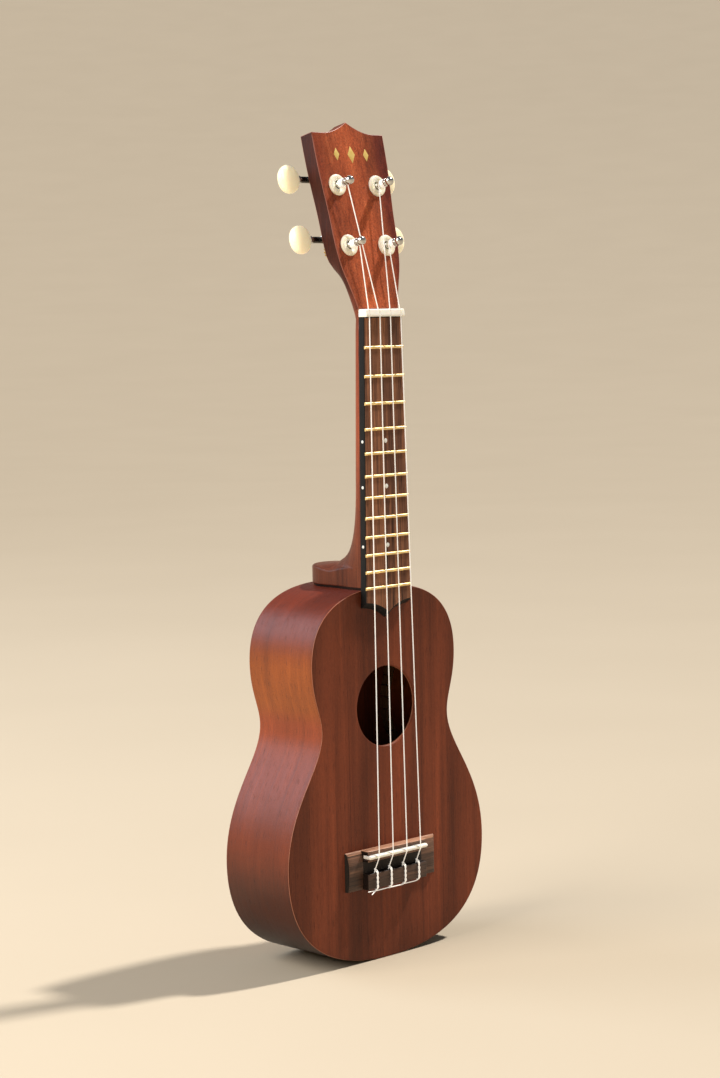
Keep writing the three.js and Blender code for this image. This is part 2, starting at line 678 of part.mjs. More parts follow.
// A pebble-shaped button: a superellipsoid with a blind bore for the shaft.
function makeButton(side) {
  const { centre, halfLength, halfDepth, halfHeight, fullness } = button;
  const pebble = new THREE.SphereGeometry(1, 14, 10);
  const place = pebble.attributes.position;
  for (let i = 0; i < place.count; i += 1) {
    const direction = new THREE.Vector3().fromBufferAttribute(place, i);
    const sum = Math.abs(direction.x / halfLength) ** fullness
      + Math.abs(direction.z / halfDepth) ** fullness
      + Math.abs(direction.y / halfHeight) ** fullness;
    direction.multiplyScalar(sum ** (-1 / fullness));
    place.setXYZ(i, direction.x, direction.y, direction.z);
  }
  pebble.rotateX(Math.PI / 2).translate(side * centre, 0, 0);
  const mouth = centre - halfLength;
  const bore = layAlongX(rod(button.bore, 0, mouth + button.boreDepth), side);
  return cut(pebble, bore).translate(0, worm.depth, worm.offset);
}

function makeTuner({ label, side, x, u }) {
  const tuner = new THREE.Group();
  tuner.position.set(side * x, 0, u);
  tuner.add(part(`tuner_plate_${label}`, makeTunerPlate(side), chrome));
  tuner.add(part(`worm_shaft_${label}`, makeWormShaft(side), chrome));
  tuner.add(part(`button_${label}`, makeButton(side), cream));
  tuner.add(part(`string_post_${label}`, makePost(), chrome));
  tuner.add(part(`post_gear_${label}`, makeGear(), brass));
  tuner.add(part(`bushing_${label}`, makeBushing(), cream));
  return tuner;
}

// ---------------------------------------------------------------- assembly

const ukulele = new THREE.Group();
ukulele.add(...makePlates(), ...makeSides(), ...makeBlocks(), ...makeLinings(), ...makeBraces());
ukulele.add(makeNeck(), makeFretboard(), ...makeFrets(), makeNut());
ukulele.add(makeBridge(), makeSaddle(), ...makeStrings());

const headstock = new THREE.Group();
headstock.position.set(0, headFront, nutZ);
headstock.rotation.x = -headTilt;
headstock.add(...postPlaces.map(makeTuner));
ukulele.add(headstock);

ukulele.updateMatrixWorld(true);
const extent = new THREE.Box3().setFromObject(ukulele, true);
ukulele.position.y = -(extent.min.y + extent.max.y) / 2;

export default ukulele;
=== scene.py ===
"""A soprano ukulele: mahogany sound box and neck, tie bridge, geared tuners with cream buttons."""
import json
import math

import bmesh
import bpy
import numpy as np
from mathutils import Matrix, Vector
from mathutils.geometry import tessellate_polygon


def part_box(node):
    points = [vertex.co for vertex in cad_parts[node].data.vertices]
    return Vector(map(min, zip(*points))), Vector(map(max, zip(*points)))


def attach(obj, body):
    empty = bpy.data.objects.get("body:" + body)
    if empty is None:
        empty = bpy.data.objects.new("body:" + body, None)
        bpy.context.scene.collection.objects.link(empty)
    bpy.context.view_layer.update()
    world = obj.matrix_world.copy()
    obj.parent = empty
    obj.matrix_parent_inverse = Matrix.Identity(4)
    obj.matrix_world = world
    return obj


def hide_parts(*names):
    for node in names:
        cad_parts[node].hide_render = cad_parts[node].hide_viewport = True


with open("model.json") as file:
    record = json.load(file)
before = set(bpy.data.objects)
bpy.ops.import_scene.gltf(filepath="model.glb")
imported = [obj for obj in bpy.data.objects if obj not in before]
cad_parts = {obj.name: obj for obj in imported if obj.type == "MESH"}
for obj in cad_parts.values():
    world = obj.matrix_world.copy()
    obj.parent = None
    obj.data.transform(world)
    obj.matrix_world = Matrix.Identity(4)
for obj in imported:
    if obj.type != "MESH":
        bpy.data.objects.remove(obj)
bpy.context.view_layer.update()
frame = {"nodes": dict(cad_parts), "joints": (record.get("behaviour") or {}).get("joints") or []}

scene = bpy.context.scene

# ---------------------------------------------------------------- frames
# Shapes are drawn in millimetres. BODY has the soundboard's face at y = 0 and the tail at z = 0.
# HEAD starts at the nut: x across, then depth behind the headstock's face, then up its face.

JOINTS = {joint["name"]: joint for joint in frame["joints"]}
RIGHT = Vector((1, 0, 0))
DEPTH = Vector(JOINTS["post_turn_1"]["axis"])
UP = Vector((0, -DEPTH.z, DEPTH.y))
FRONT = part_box("soundboard")[0].y
NUT_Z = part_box("nut")[0].z
TUNERS = ("1", "2", "3", "4")
SIDES = {n: JOINTS[f"knob_turn_{n}"]["axis"][0] for n in TUNERS}


def axes(origin, x, y, z):
    """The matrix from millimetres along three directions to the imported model's frame."""
    turn = Matrix((x, y, z)).transposed().to_4x4()
    return Matrix.Translation(origin) @ turn @ Matrix.Scale(0.001, 4)


BODY = axes(Vector((0, FRONT, 0)), RIGHT, Vector((0, 1, 0)), Vector((0, 0, 1)))
HEAD = axes(Vector((0, FRONT - 0.002, NUT_Z)), RIGHT, DEPTH, UP)
TUNER = {n: axes(Vector(JOINTS[f"post_turn_{n}"]["pos_m"]), RIGHT * SIDES[n], DEPTH, UP) for n in TUNERS}


def on_head(x, depth, up):
    """A point of the HEAD frame in the BODY frame."""
    return BODY.inverted() @ HEAD @ Vector((x, depth, up))


# ---------------------------------------------------------------- sizes in millimetres

NUT = NUT_Z * 1000
SCALE = 345
FRETS = 12
DEPTH_OF_BODY = 59.3
PLATE, SIDE, LINING = 2, 2, 5.1
MIDDLE_GAP = 0.12  # between the plane of symmetry and the end of each side
SHOULDER = 242.4
HALF_OUTLINE = ((0, 0), (50, 0), (88.8, 17.4), (88.8, 67.4), (88.8, 110.4), (57, 130.8), (57, 153.8),
                (57, 165.8), (64.7, 175), (64.7, 195), (64.7, 224), (46, SHOULDER), (0, SHOULDER))
HOLE_Z, HOLE_RADIUS = 164.5, 25.9
NUT_HALF, JOIN_HALF = 17.05, 20.5
BOARD_FRONT = -4.55
HEAD_THICKNESS = 10.75
HEAD_SIDE = ((17.05, 0), (17.9, 6), (21.6, 19), (26, 33), (28.1, 48), (28.9, 68), (30.8, 92), (31.4, 108),
             (31.5, 122))
CREST_U, CREST_TIP, CREST_SHOULDER = 120, 7.4, 22
STRING = 0.35
SADDLE_Z = 70
NUT_SPREAD, SADDLE_SPREAD = 14.05, 18.98

# ---------------------------------------------------------------- shape helpers


def fillet(points, reach, steps=4, closed=True):
    """A chain of points with a small curve in place of each corner."""
    points = [np.array(p, float) for p in points]
    count = len(points)
    reach = reach if hasattr(reach, "__len__") else [reach] * count
    out = []
    for i, p in enumerate(points):
        if (not closed and i in (0, count - 1)) or not reach[i]:
            out.append(p)
            continue
        before, after = points[i - 1] - p, points[(i + 1) % count] - p
        a = p + before * min(0.45, reach[i] / np.linalg.norm(before))
        b = p + after * min(0.45, reach[i] / np.linalg.norm(after))
        for t in np.linspace(0, 1, steps + 1):
            out.append((1 - t) ** 2 * a + 2 * t * (1 - t) * p + t * t * b)
    return out


def bezier(a, b, c, d, steps):
    t = np.linspace(0, 1, steps + 1)[:, None]
    return (1 - t) ** 3 * a + 3 * (1 - t) ** 2 * t * b + 3 * (1 - t) * t * t * c + t ** 3 * d


def circle(radius, steps, centre=(0, 0), turn=1):
    angles = np.linspace(0, 2 * math.pi, steps, endpoint=False) * turn
    return np.stack([centre[0] + radius * np.cos(angles), centre[1] + radius * np.sin(angles)], 1)


def inset(loop, distance):
    """A closed flat loop moved to its left."""
    loop = np.array(loop, float)
    ahead = np.roll(loop, -1, 0) - loop
    normal = np.stack([-ahead[:, 1], ahead[:, 0]], 1)
    normal /= np.linalg.norm(normal, axis=1)[:, None] + 1e-12
    both = normal + np.roll(normal, 1, 0)
    both /= np.linalg.norm(both, axis=1)[:, None] + 1e-12
    stretch = 1 / np.maximum((both * normal).sum(1), 0.35)
    return loop + both * (distance * stretch)[:, None]


def rim(front, back, front_radius, back_radius=None, steps=4):
    """Inset and height of each ring of a plate's rim, from the front face to the back."""
    back_radius = front_radius if back_radius is None else back_radius
    angles = [math.pi / 2 * i / steps for i in range(steps + 1)]
    ahead = [(front_radius * (1 - math.sin(a)), front + front_radius * (1 - math.cos(a))) for a in angles]
    behind = [(back_radius * (1 - math.sin(a)), back - back_radius * (1 - math.cos(a))) for a in angles]
    return [(ahead[0][0] + 0.3, front), *ahead, *behind[::-1], (behind[0][0] + 0.3, back)]


def close(mesh, merge=0):
    """Turns every face of a mesh outwards, after merging points nearer than a distance."""
    work = bmesh.new()
    work.from_mesh(mesh)
    if merge:
        bmesh.ops.remove_doubles(work, verts=work.verts, dist=merge)
    bmesh.ops.recalc_face_normals(work, faces=work.faces)
    work.to_mesh(mesh)
    work.free()


class Shape:
    """Points in millimetres and faces of one or more closed shells."""

    def __init__(self):
        self.points, self.faces, self.groups, self.grain = [], [], [], {}

    def add(self, points, faces, group=0):
        start = len(self.points)
        self.points += [Vector(p) for p in points]
        self.faces += [tuple(start + i for i in face) for face in faces]
        self.groups += [group] * len(faces)
        return self

    def skin(self, rings, caps=True, loop=False, group=0):
        """Quads through matching closed rings."""
        count, total = len(rings[0]), len(rings)
        points = [p for ring in rings for p in ring]
        faces = []
        for r in range(total if loop else total - 1):
            for i in range(count):
                j = (i + 1) % count
                a, b = r * count, (r + 1) % total * count
                faces.append((a + i, a + j, b + j, b + i))
        if caps and not loop:
            faces += [tuple(range(count))[::-1], tuple(range((total - 1) * count, total * count))]
        return self.add(points, faces, group)

    def slab(self, loops, profile, place, groups=(0, 0, 0)):
        """A plate from flat loops, its outline and then any holes. groups: front, rim strips, back."""
        points, faces, kinds, first = [], [], [], []
        loops = [np.array(loop, float) for loop in loops]
        for k, loop in enumerate(loops):
            ahead = np.roll(loop, -1, 0)
            area = (loop[:, 0] * ahead[:, 1] - ahead[:, 0] * loop[:, 1]).sum()
            if (area > 0) != (k == 0):
                loops[k] = loop[::-1]
        for k, loop in enumerate(loops):
            strips = groups[1] if isinstance(groups[1], tuple) else ((groups[1],) * len(profile),) * len(loops)
            first.append(len(points))
            count = len(loop)
            for step, height in profile:
                points += [place(a, b, height) for a, b in inset(loop, step)]
            for r in range(len(profile) - 1):
                for i in range(count):
                    a, b = first[-1] + r * count + i, first[-1] + r * count + (i + 1) % count
                    faces.append((a, b, b + count, a + count))
                    kinds.append(strips[k][r])
        for r, kind in ((0, groups[0]), (len(profile) - 1, groups[2])):
            index = [start + r * len(loop) + i for start, loop in zip(first, loops) for i in range(len(loop))]
            flat = [[Vector((*xy, 0)) for xy in inset(loop, profile[r][0])] for loop in loops]
            for face in tessellate_polygon(flat):
                faces.append(tuple(index[i] for i in face))
                kinds.append(kind)
        start = len(self.groups)
        self.add(points, faces)
        self.groups[start:] = kinds
        return self

    def lathe(self, profile, place, steps=36, loop=False, group=0):
        """A turned shell from radius and height."""
        rings = [[place(a, b, h) for a, b in circle(max(r, 0.004), steps)] for r, h in profile]
        return self.skin(rings, loop=loop, group=group)

    def tube(self, path, radius, sides=10, group=0):
        """A round tube along a path. radius may be one number or one for each point."""
        path = np.array([tuple(p) for p in path], float)
        radius = np.broadcast_to(radius, len(path))
        along = np.gradient(path, axis=0)
        along /= np.linalg.norm(along, axis=1)[:, None]
        side = np.cross(along[0], (0.31, 0.22, 0.92))
        rings = []
        for p, t, r in zip(path, along, radius):
            side = side - t * side.dot(t)
            side /= np.linalg.norm(side)
            other = np.cross(t, side)
            rings.append([p + r * (math.cos(a) * side + math.sin(a) * other)
                          for a in np.linspace(0, 2 * math.pi, sides, endpoint=False)])
        return self.skin(rings, group=group)

    def make(self, name, matrix, finishes, body="root", stands_for=None, slot=None, sharp=38):
        """The shape as a piece that rides on a body."""
        mesh = bpy.data.meshes.new(name)
        mesh.from_pydata([matrix @ p for p in self.points], [], self.faces)
        finishes = finishes if isinstance(finishes, (list, tuple)) else [finishes]
        for finish in finishes:
            mesh.materials.append(finish)
        mesh.polygons.foreach_set("material_index", self.groups)
        for key, values in self.grain.items():
            layer = mesh.attributes.new(key, "FLOAT_VECTOR", "POINT")
            layer.data.foreach_set("vector", np.array(values, np.float32).ravel())
        close(mesh, 1e-7)
        mesh.shade_smooth()
        mesh.set_sharp_from_angle(angle=math.radians(sharp))
        piece = bpy.data.objects.new(name, mesh)
        scene.collection.objects.link(piece)
        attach(piece, body)
        if stands_for:
            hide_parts(stands_for)
        return piece


def settle(piece):
    """Puts the piece's modifiers into its mesh."""
    graph = bpy.context.evaluated_depsgraph_get()
    mesh = bpy.data.meshes.new_from_object(piece.evaluated_get(graph))
    piece.modifiers.clear()
    piece.data = mesh


def bore(piece, cutter_shape, matrix, sharp=38):
    """Cuts a shape out of a piece."""
    mesh = bpy.data.meshes.new("cutter")
    mesh.from_pydata([matrix @ p for p in cutter_shape.points], [], cutter_shape.faces)
    close(mesh)
    cutter = bpy.data.objects.new("cutter", mesh)
    scene.collection.objects.link(cutter)
    cut = piece.modifiers.new("cut", "BOOLEAN")
    cut.object = cutter
    cut.solver = "EXACT"
    settle(piece)
    bpy.data.objects.remove(cutter)
    piece.data.set_sharp_from_angle(angle=math.radians(sharp))


def weigh(piece, angle, above):
    """Marks the sharp edges above a height, for a bevel that leaves the rest alone."""
    work = bmesh.new()
    work.from_mesh(piece.data)
    layer = work.edges.layers.float.new("bevel_weight_edge")
    for edge in work.edges:
        if min(v.co.z for v in edge.verts) > above and edge.calc_face_angle(0) > math.radians(angle):
            edge[layer] = 1
    work.to_mesh(piece.data)
    work.free()


def soften(piece, width, segments=2, angle=35, clamp=True, edge_highlight_slot=-1, marked=False):
    """Rounds a piece's sharp edges, and keeps its flat faces flat to the eye. edge_highlight_slot gives the bevel
    faces their own material, for a painted edge highlight.
    """
    edge = piece.modifiers.new("edge", "BEVEL")
    edge.width = width / 1000
    edge.segments = segments
    edge.limit_method = "WEIGHT" if marked else "ANGLE"
    edge.angle_limit = math.radians(angle)
    edge.use_clamp_overlap = clamp
    edge.material = edge_highlight_slot
    flat = piece.modifiers.new("flat", "WEIGHTED_NORMAL")
    flat.keep_sharp = True


def upright(a, b, height):
    """Outlines in x and z, or shapes turned about the depth axis, with the height as y."""
    return (a, height, b)


def lengthwise(a, b, height):
    """Bar outlines in the distance in front of y = 0 and z, with the height as x."""
    return (height, -a, b)


def sideways(a, b, height):
    """Outlines in depth and z, or shapes turned about x, with the height as x."""
    return (height, a, b)


# ---------------------------------------------------------------- materials


def rgb(red, green, blue):
    """An sRGB colour as linear numbers."""
    values = [c / 255 for c in (red, green, blue)]
    return (*[c / 12.92 if c <= 0.04045 else ((c + 0.055) / 1.055) ** 2.4 for c in values], 1)


class Finish:
    """A material built from nodes."""

    def __init__(self, name):
        self.material = bpy.data.materials.new(name)
        self.material.use_nodes = True
        self.tree = self.material.node_tree
        self.tree.nodes.clear()
        self.shader = self.node("ShaderNodeBsdfPrincipled")
        out = self.node("ShaderNodeOutputMaterial")
        self.tree.links.new(self.shader.outputs[0], out.inputs[0])

    def node(self, kind, inputs=None, **settings):
        made = self.tree.nodes.new(kind)
        for key, value in settings.items():
            setattr(made, key, value)
        for key, value in (inputs or {}).items():
            self.put(made.inputs[key], value)
        return made

    def put(self, socket, value):
        if isinstance(value, bpy.types.NodeSocket):
            self.tree.links.new(value, socket)
        else:
            socket.default_value = value

    def set(self, **values):
        for key, value in values.items():
            self.put(self.shader.inputs[key.replace("_", " ")], value)

    def place(self, grain=None):
        if grain:
            return self.node("ShaderNodeAttribute", attribute_name=grain).outputs["Vector"]
        return self.node("ShaderNodeTexCoord").outputs["Object"]

    def noise(self, place, scale, detail=2.0, roughness=0.5, distortion=0.0):
        """Noise with its own scale along each axis, per metre."""
        spread = self.node("ShaderNodeMapping", {"Vector": place, "Scale": scale})
        made = self.node("ShaderNodeTexNoise", {
            "Vector": spread.outputs[0], "Scale": 1.0, "Detail": detail, "Roughness": roughness,
            "Distortion": distortion})
        return made.outputs[0]

    def add(self, a, b):
        return self.node("ShaderNodeMath", {0: a, 1: b}, operation="ADD").outputs[0]

    def times(self, a, b):
        return self.node("ShaderNodeMath", {0: a, 1: b}, operation="MULTIPLY").outputs[0]

    def span(self, value, low, high, to_low=0.0, to_high=1.0):
        return self.node("ShaderNodeMapRange", {0: value, 1: low, 2: high, 3: to_low, 4: to_high}).outputs[0]

    def ramp(self, value, stops):
        made = self.node("ShaderNodeValToRGB", {0: value})
        made.color_ramp.interpolation = "EASE"
        while len(made.color_ramp.elements) < len(stops):
            made.color_ramp.elements.new(0.5)
        for element, (position, colour) in zip(made.color_ramp.elements, stops):
            element.position = position
            element.color = colour
        return made.outputs[0]

    def mix(self, share, a, b, mode="MIX"):
        made = self.node("ShaderNodeMix", {0: share, 6: a, 7: b}, data_type="RGBA", blend_type=mode)
        return made.outputs[2]

    def vary(self, colour, noise, share):
        """The colour made lighter and darker by a share, where the noise is high and low."""
        grey = self.span(noise, 0.3, 0.7, 1 - share, 1 + share)
        grey = self.node("ShaderNodeCombineColor", {0: grey, 1: grey, 2: grey}).outputs[0]
        return self.mix(1.0, colour, grey, "MULTIPLY")

    def bump(self, height, strength, distance):
        made = self.node("ShaderNodeBump", {"Height": height, "Strength": strength, "Distance": distance})
        return made.outputs[0]


def tone(value):
    """A colour from one number or three."""
    return (*value, 1) if isinstance(value, tuple) else (value, value, value, 1)


def wood(name, shades, grain=None, streak=(95, 95, 3.2), line=(640, 640, 7), pore=(2300, 2300, 75),
         pores=0.5, rough=(0.34, 0.5), bands=None, painted_light_and_tone=None, figure=0.10, speckle=0.10, gloss=0.5):
    """Straight-grained wood along z: broad streaks, fine growth lines, open pores and a satin coat."""
    f = Finish(name)
    place = f.place(grain)
    broad = f.noise(place, streak, 3.0, 0.55, distortion=0.25)
    fine = f.noise(place, line, 3.0, 0.6)
    blend = f.add(f.times(broad, 0.62), f.times(fine, 0.38))
    stops = [(i / (len(shades) - 1), rgb(*shade)) for i, shade in enumerate(shades)]
    colour = f.ramp(f.span(blend, 0.33, 0.67), stops)
    # Colour bands across the grain: the wood's own stripes, and on the bridge a painted highlight towards its top.
    if bands:
        tilt, stops = bands
        split = f.node("ShaderNodeSeparateXYZ", {0: place})
        drift = f.times(split.outputs[2], -tilt)
        wander = f.span(f.noise(place, (14, 14, 9), 1.0), 0.3, 0.7, -0.004, 0.004)
        across = f.add(f.add(split.outputs[0], drift), wander)
        shade = f.ramp(f.span(across, -0.1, 0.1), [((x + 100) / 200, tone(v)) for x, v in stops])
        colour = f.mix(1.0, colour, shade, "MULTIPLY")
    # Colour multipliers along z: painted light and shade on the plates, sides and neck, and the headstock's own
    # darker tone.
    if painted_light_and_tone:
        along = f.node("ShaderNodeSeparateXYZ", {0: place}).outputs[2]
        shade = f.ramp(f.span(along, 0, 0.45), [(z / 450, tone(v)) for z, v in painted_light_and_tone])
        colour = f.mix(1.0, colour, shade, "MULTIPLY")
    colour = f.vary(colour, f.noise(place, (38, 38, 26)), figure)
    colour = f.vary(colour, f.noise(place, (1500, 1500, 900), 2.0, 0.7), speckle)
    pit = f.span(f.noise(place, pore, 1.0, 0.4), 0.60, 0.70)
    dark = f.mix(1.0, colour, rgb(110, 92, 86), "MULTIPLY")
    colour = f.mix(f.times(pit, pores), colour, dark)
    rough_value = f.add(f.span(fine, 0.3, 0.7, *rough), f.times(pit, 0.12))
    height = f.add(f.times(fine, 0.35), f.times(pit, -1))
    f.set(Base_Color=colour, Roughness=rough_value, Normal=f.bump(height, 0.35, 0.00012),
          Specular_IOR_Level=gloss)
    return f.material


def plastic(name, colour, shade, rough=0.3, cloud=(120, 120, 120), subsurface=0.0, painted_glow=0.0, gloss=0.5):
    """A cast plastic with a faint cloud of a second shade, and perhaps a painted glow: emission that brightens it
    though it is no lamp.
    """
    f = Finish(name)
    place = f.place()
    cloudy = f.noise(place, cloud, 3.0, 0.55, distortion=0.6)
    fine = f.noise(place, (2600, 2600, 2600), 2.0)
    f.set(Base_Color=f.mix(f.span(cloudy, 0.35, 0.68), rgb(*colour), rgb(*shade)),
          Roughness=f.span(fine, 0.3, 0.7, rough - 0.05, rough + 0.08), Normal=f.bump(fine, 0.12, 0.00003),
          Specular_IOR_Level=gloss)
    if subsurface:
        f.set(Subsurface_Weight=subsurface, Subsurface_Radius=(0.004, 0.003, 0.0018), Subsurface_Scale=1.0)
    if painted_glow:
        f.set(Emission_Color=rgb(*colour), Emission_Strength=painted_glow)
    return f.material


def metal(name, colour, tarnish, rough, brushed=(2200, 2200, 2200), lift=0.00002, metallic=1.0):
    """Polished metal with fine scratches and a little tarnish."""
    f = Finish(name)
    place = f.place()
    fine = f.noise(place, brushed, 2.0)
    cloudy = f.noise(place, (420, 420, 420), 3.0)
    f.set(Base_Color=f.mix(f.span(cloudy, 0.42, 0.75), rgb(*colour), rgb(*tarnish)), Metallic=metallic,
          Roughness=f.span(f.add(f.times(fine, 0.5), f.times(cloudy, 0.5)), 0.3, 0.7, rough - 0.05, rough + 0.12),
          Normal=f.bump(fine, 0.08, lift))
    return f.material


TOP_BANDS = (0.08, ((-100, 0.5), (-84, 0.62), (-62, 1.12), (-46, 1.0), (-31, 0.58), (-20, 0.84), (-4, 1.12),
                    (6, 1.0), (13, 0.74), (24, 0.9), (37, 1.16), (47, 0.96), (55, 0.68), (66, 0.92), (78, 1.08),
                    (92, 0.7)))
BACK_BANDS = (-0.03, ((-100, 0.6), (-60, 1.1), (-35, 0.8), (-8, 1.08), (0, 0.7), (9, 1.1), (36, 0.78),
                      (62, 1.06), (95, 0.6)))
# Colour multipliers up the top and back plates (z, mm): darker towards the tail as painted shade, and darker
# towards the neck.
PLATE_PAINTED_SHADE = ((0, 0.74), (30, 1.0), (75, 1.08), (130, 1.1), (185, 1.0), (245, 0.76))
# Colour multipliers along the sides from the tail (arc, mm): painted shade near the tail, painted warm bounce light
# at the waist, darker below the shoulder, and a painted pink sheen on the shoulder.
SIDE_PAINTED_LIGHT = ((60, 0.1), (105, (0.25, 0.2, 0.19)), (150, (0.72, 0.52, 0.5)), (190, (0.93, 0.66, 0.68)),
              (222, (1.12, 0.9, 0.93)), (236, (1.22, 1.22, 0.6)), (258, (1.18, 1.15, 0.55)),
              (284, (0.66, 0.42, 0.42)), (345, (0.58, 0.34, 0.44)), (378, (0.9, 0.52, 0.8)),
              (410, (1.45, 0.86, 1.4)), (440, (1.7, 1.05, 1.9)))
# Colour multipliers up the neck (z, mm): darker at the heel, and lighter along the shaft as painted light standing
# in for bounce light and sheen on its side.
NECK_PAINTED_LIGHT = ((0, 0.66), (258, 0.66), (300, (1.0, 0.88, 0.84)), (340, (1.5, 1.3, 1.2)), (396, (1.5, 1.3, 1.2)),
              (411, (1.2, 1.15, 1.15)), (430, 0.8), (450, 0.8))
HEAD_BURST = ((0, (4.1, 4.2, 3.3)), (411, (4.1, 4.2, 3.3)), (425, (2.5, 2.5, 2.3)), (438, 1.4), (450, 1.0))
FACE_BANDS = (0.0, ((-100, 0.5), (-30, (0.66, 0.56, 0.62)), (-18, 0.9), (-6, 1.15), (8, 1.15), (17, 0.8),
                    (25, (0.42, 0.3, 0.42)), (100, (0.36, 0.26, 0.36))))
# Colour multipliers up the bridge (z, mm): a painted highlight, paler towards the top edge where light falls on the
# upward-sloping wood.
BRIDGE_PAINTED_LIGHT_BANDS = (0.0, ((40, 0.95), (56, 0.9), (61, 1.1), (66, 1.7), (70, 2.2), (73, 2.6), (100, 2.6)))
mahogany_top = wood("mahogany_top", ((94, 43, 25), (112, 53, 31), (126, 61, 36)), bands=TOP_BANDS,
                    painted_light_and_tone=PLATE_PAINTED_SHADE, streak=(210, 210, 4), line=(1000, 1000, 10), pore=(2300, 2300, 110),
                    pores=0.4, rough=(0.38, 0.52), figure=0.05, speckle=0.13, gloss=0.2)
mahogany_back = wood("mahogany_back", ((92, 43, 26), (116, 57, 34), (136, 68, 40)), bands=BACK_BANDS,
                     painted_light_and_tone=PLATE_PAINTED_SHADE, streak=(160, 160, 4), line=(900, 900, 9), gloss=0.25)
mahogany_side = wood("mahogany_side", ((118, 57, 27), (131, 65, 32), (142, 72, 36)), grain="grain",
                     painted_light_and_tone=SIDE_PAINTED_LIGHT, streak=(200, 200, 9), line=(1000, 1000, 14), pore=(2300, 2300, 130),
                     rough=(0.36, 0.48), figure=0.09, speckle=0.16, gloss=0.4)
# Paler wood for the plates' rounded edge and the sound hole's wall: the cut edge's lighter tone with a painted edge
# highlight.
mahogany_cut_edge_highlight = wood("mahogany_cut_edge_highlight", ((140, 84, 62), (160, 100, 76), (176, 118, 92)), pores=0.2)
mahogany_neck = wood("mahogany_neck", ((82, 38, 23), (112, 55, 34), (138, 72, 45)), painted_light_and_tone=NECK_PAINTED_LIGHT,
                     streak=(170, 170, 5), line=(1000, 1000, 12), rough=(0.34, 0.46), speckle=0.14, gloss=0.24)
mahogany_face = wood("mahogany_face", ((128, 56, 30), (160, 76, 42), (184, 96, 56)), bands=FACE_BANDS,
                     streak=(110, 110, 9), rough=(0.36, 0.48), speckle=0.34, figure=0.12, gloss=0.25)
mahogany_dark = wood("mahogany_dark", ((46, 19, 13), (60, 26, 18), (74, 33, 23)), painted_light_and_tone=HEAD_BURST,
                     streak=(170, 170, 5), speckle=0.14, gloss=0.18)
# Near-black wood for the groove where the neck's foot meets the sound box: painted shade.
seam_painted_shade = wood("seam_painted_shade", ((26, 14, 10), (34, 18, 13)), gloss=0.1)
# Paler wood for the neck's bevelled edges: a painted edge highlight.
mahogany_painted_bevel_highlight = wood("mahogany_painted_bevel_highlight", ((120, 66, 50), (150, 86, 68), (168, 102, 84)), pores=0.2)
# Paler wood for the bridge's up-facing top faces: a painted highlight.
bridge_top_painted_highlight = wood("bridge_top_painted_highlight", ((150, 106, 80), (180, 132, 104), (200, 154, 124)), grain="grain",
                   streak=(260, 260, 16), pores=0.4)
# Dark wood for the bridge's end grain, also standing in for its shade, and painted shade in the tie channel.
bridge_end_grain_and_shade = wood("bridge_end_grain_and_shade", ((20, 14, 12), (30, 21, 17), (40, 28, 22)), streak=(700, 700, 700),
                  gloss=0.2)
inner_wood = wood("inner_wood", ((96, 68, 44), (126, 92, 60), (146, 112, 76)), pores=0.2,
                  rough=(0.6, 0.8), gloss=0.3)
board_wood = wood("board_wood", ((44, 28, 21), (102, 65, 47), (142, 94, 66), (168, 117, 85)),
                  streak=(300, 300, 9), line=(900, 900, 18), pores=0.8, rough=(0.42, 0.62), figure=0.14,
                  gloss=0.25)
bridge_wood = wood("bridge_wood", ((36, 25, 20), (74, 52, 41), (112, 80, 62)), grain="grain",
                   bands=BRIDGE_PAINTED_LIGHT_BANDS, streak=(260, 260, 16), line=(900, 900, 22), pores=0.8,
                   rough=(0.4, 0.55), figure=0.12, gloss=0.4)
black_paint = plastic("black_paint", (13, 13, 13), (20, 19, 18), 0.5, gloss=0.2)
bone_white = plastic("bone_white", (250, 248, 242), (242, 238, 226), 0.32, (90, 400, 400), 0.15)
dot_white = plastic("dot_white", (240, 238, 232), (214, 222, 220), 0.22, (900, 900, 900))
# The last number is a painted glow, an emission that brightens the buttons.
cream_button = plastic("cream_button", (253, 241, 208), (248, 231, 192), 0.26, (60, 60, 60), 0.4, 0.2)
cream_bushing = plastic("cream_bushing", (250, 245, 228), (243, 234, 208), 0.3, (200, 200, 200), 0.2)
# painted_glow is an emission that brightens the thin strings.
nylon = plastic("nylon", (254, 252, 248), (250, 247, 241), 0.3, (300, 300, 300), painted_glow=0.22)
chrome = metal("chrome", (214, 213, 210), (178, 176, 172), 0.13)
dark_chrome = metal("dark_chrome", (92, 88, 84), (60, 56, 54), 0.2)
fret_brass = metal("fret_brass", (250, 224, 164), (238, 206, 138), 0.32, (900, 900, 900), 0.000004)
gear_brass = metal("gear_brass", (204, 168, 96), (150, 116, 62), 0.3)
gold_leaf = metal("gold_leaf", (236, 206, 124), (222, 188, 100), 0.4, metallic=0.35)

# ---------------------------------------------------------------- sound box


def half_outline(steps=28):
    """The right half of the body's outline, from the tail up to the neck."""
    knots = np.array(HALF_OUTLINE, float)
    curves = [bezier(*knots[k:k + 4], steps) for k in range(0, 12, 3)]
    return np.vstack([curves[0], *[c[1:] for c in curves[1:]]])


def half_normals(half):
    """Directions out of the right half of the outline."""
    along = np.gradient(half, axis=0)
    along[[0, -1], 1] = 0
    along /= np.linalg.norm(along, axis=1)[:, None]
    return np.stack([along[:, 1], -along[:, 0]], 1)


HALF = half_outline()
OUT = half_normals(HALF)
OUTLINE = np.vstack([HALF, (HALF * (-1, 1))[1:-1][::-1]])
ARC = np.concatenate([[0], np.cumsum(np.linalg.norm(np.diff(HALF, axis=0), axis=1))])

hole = circle(HOLE_RADIUS, 120, (0, HOLE_Z), -1)


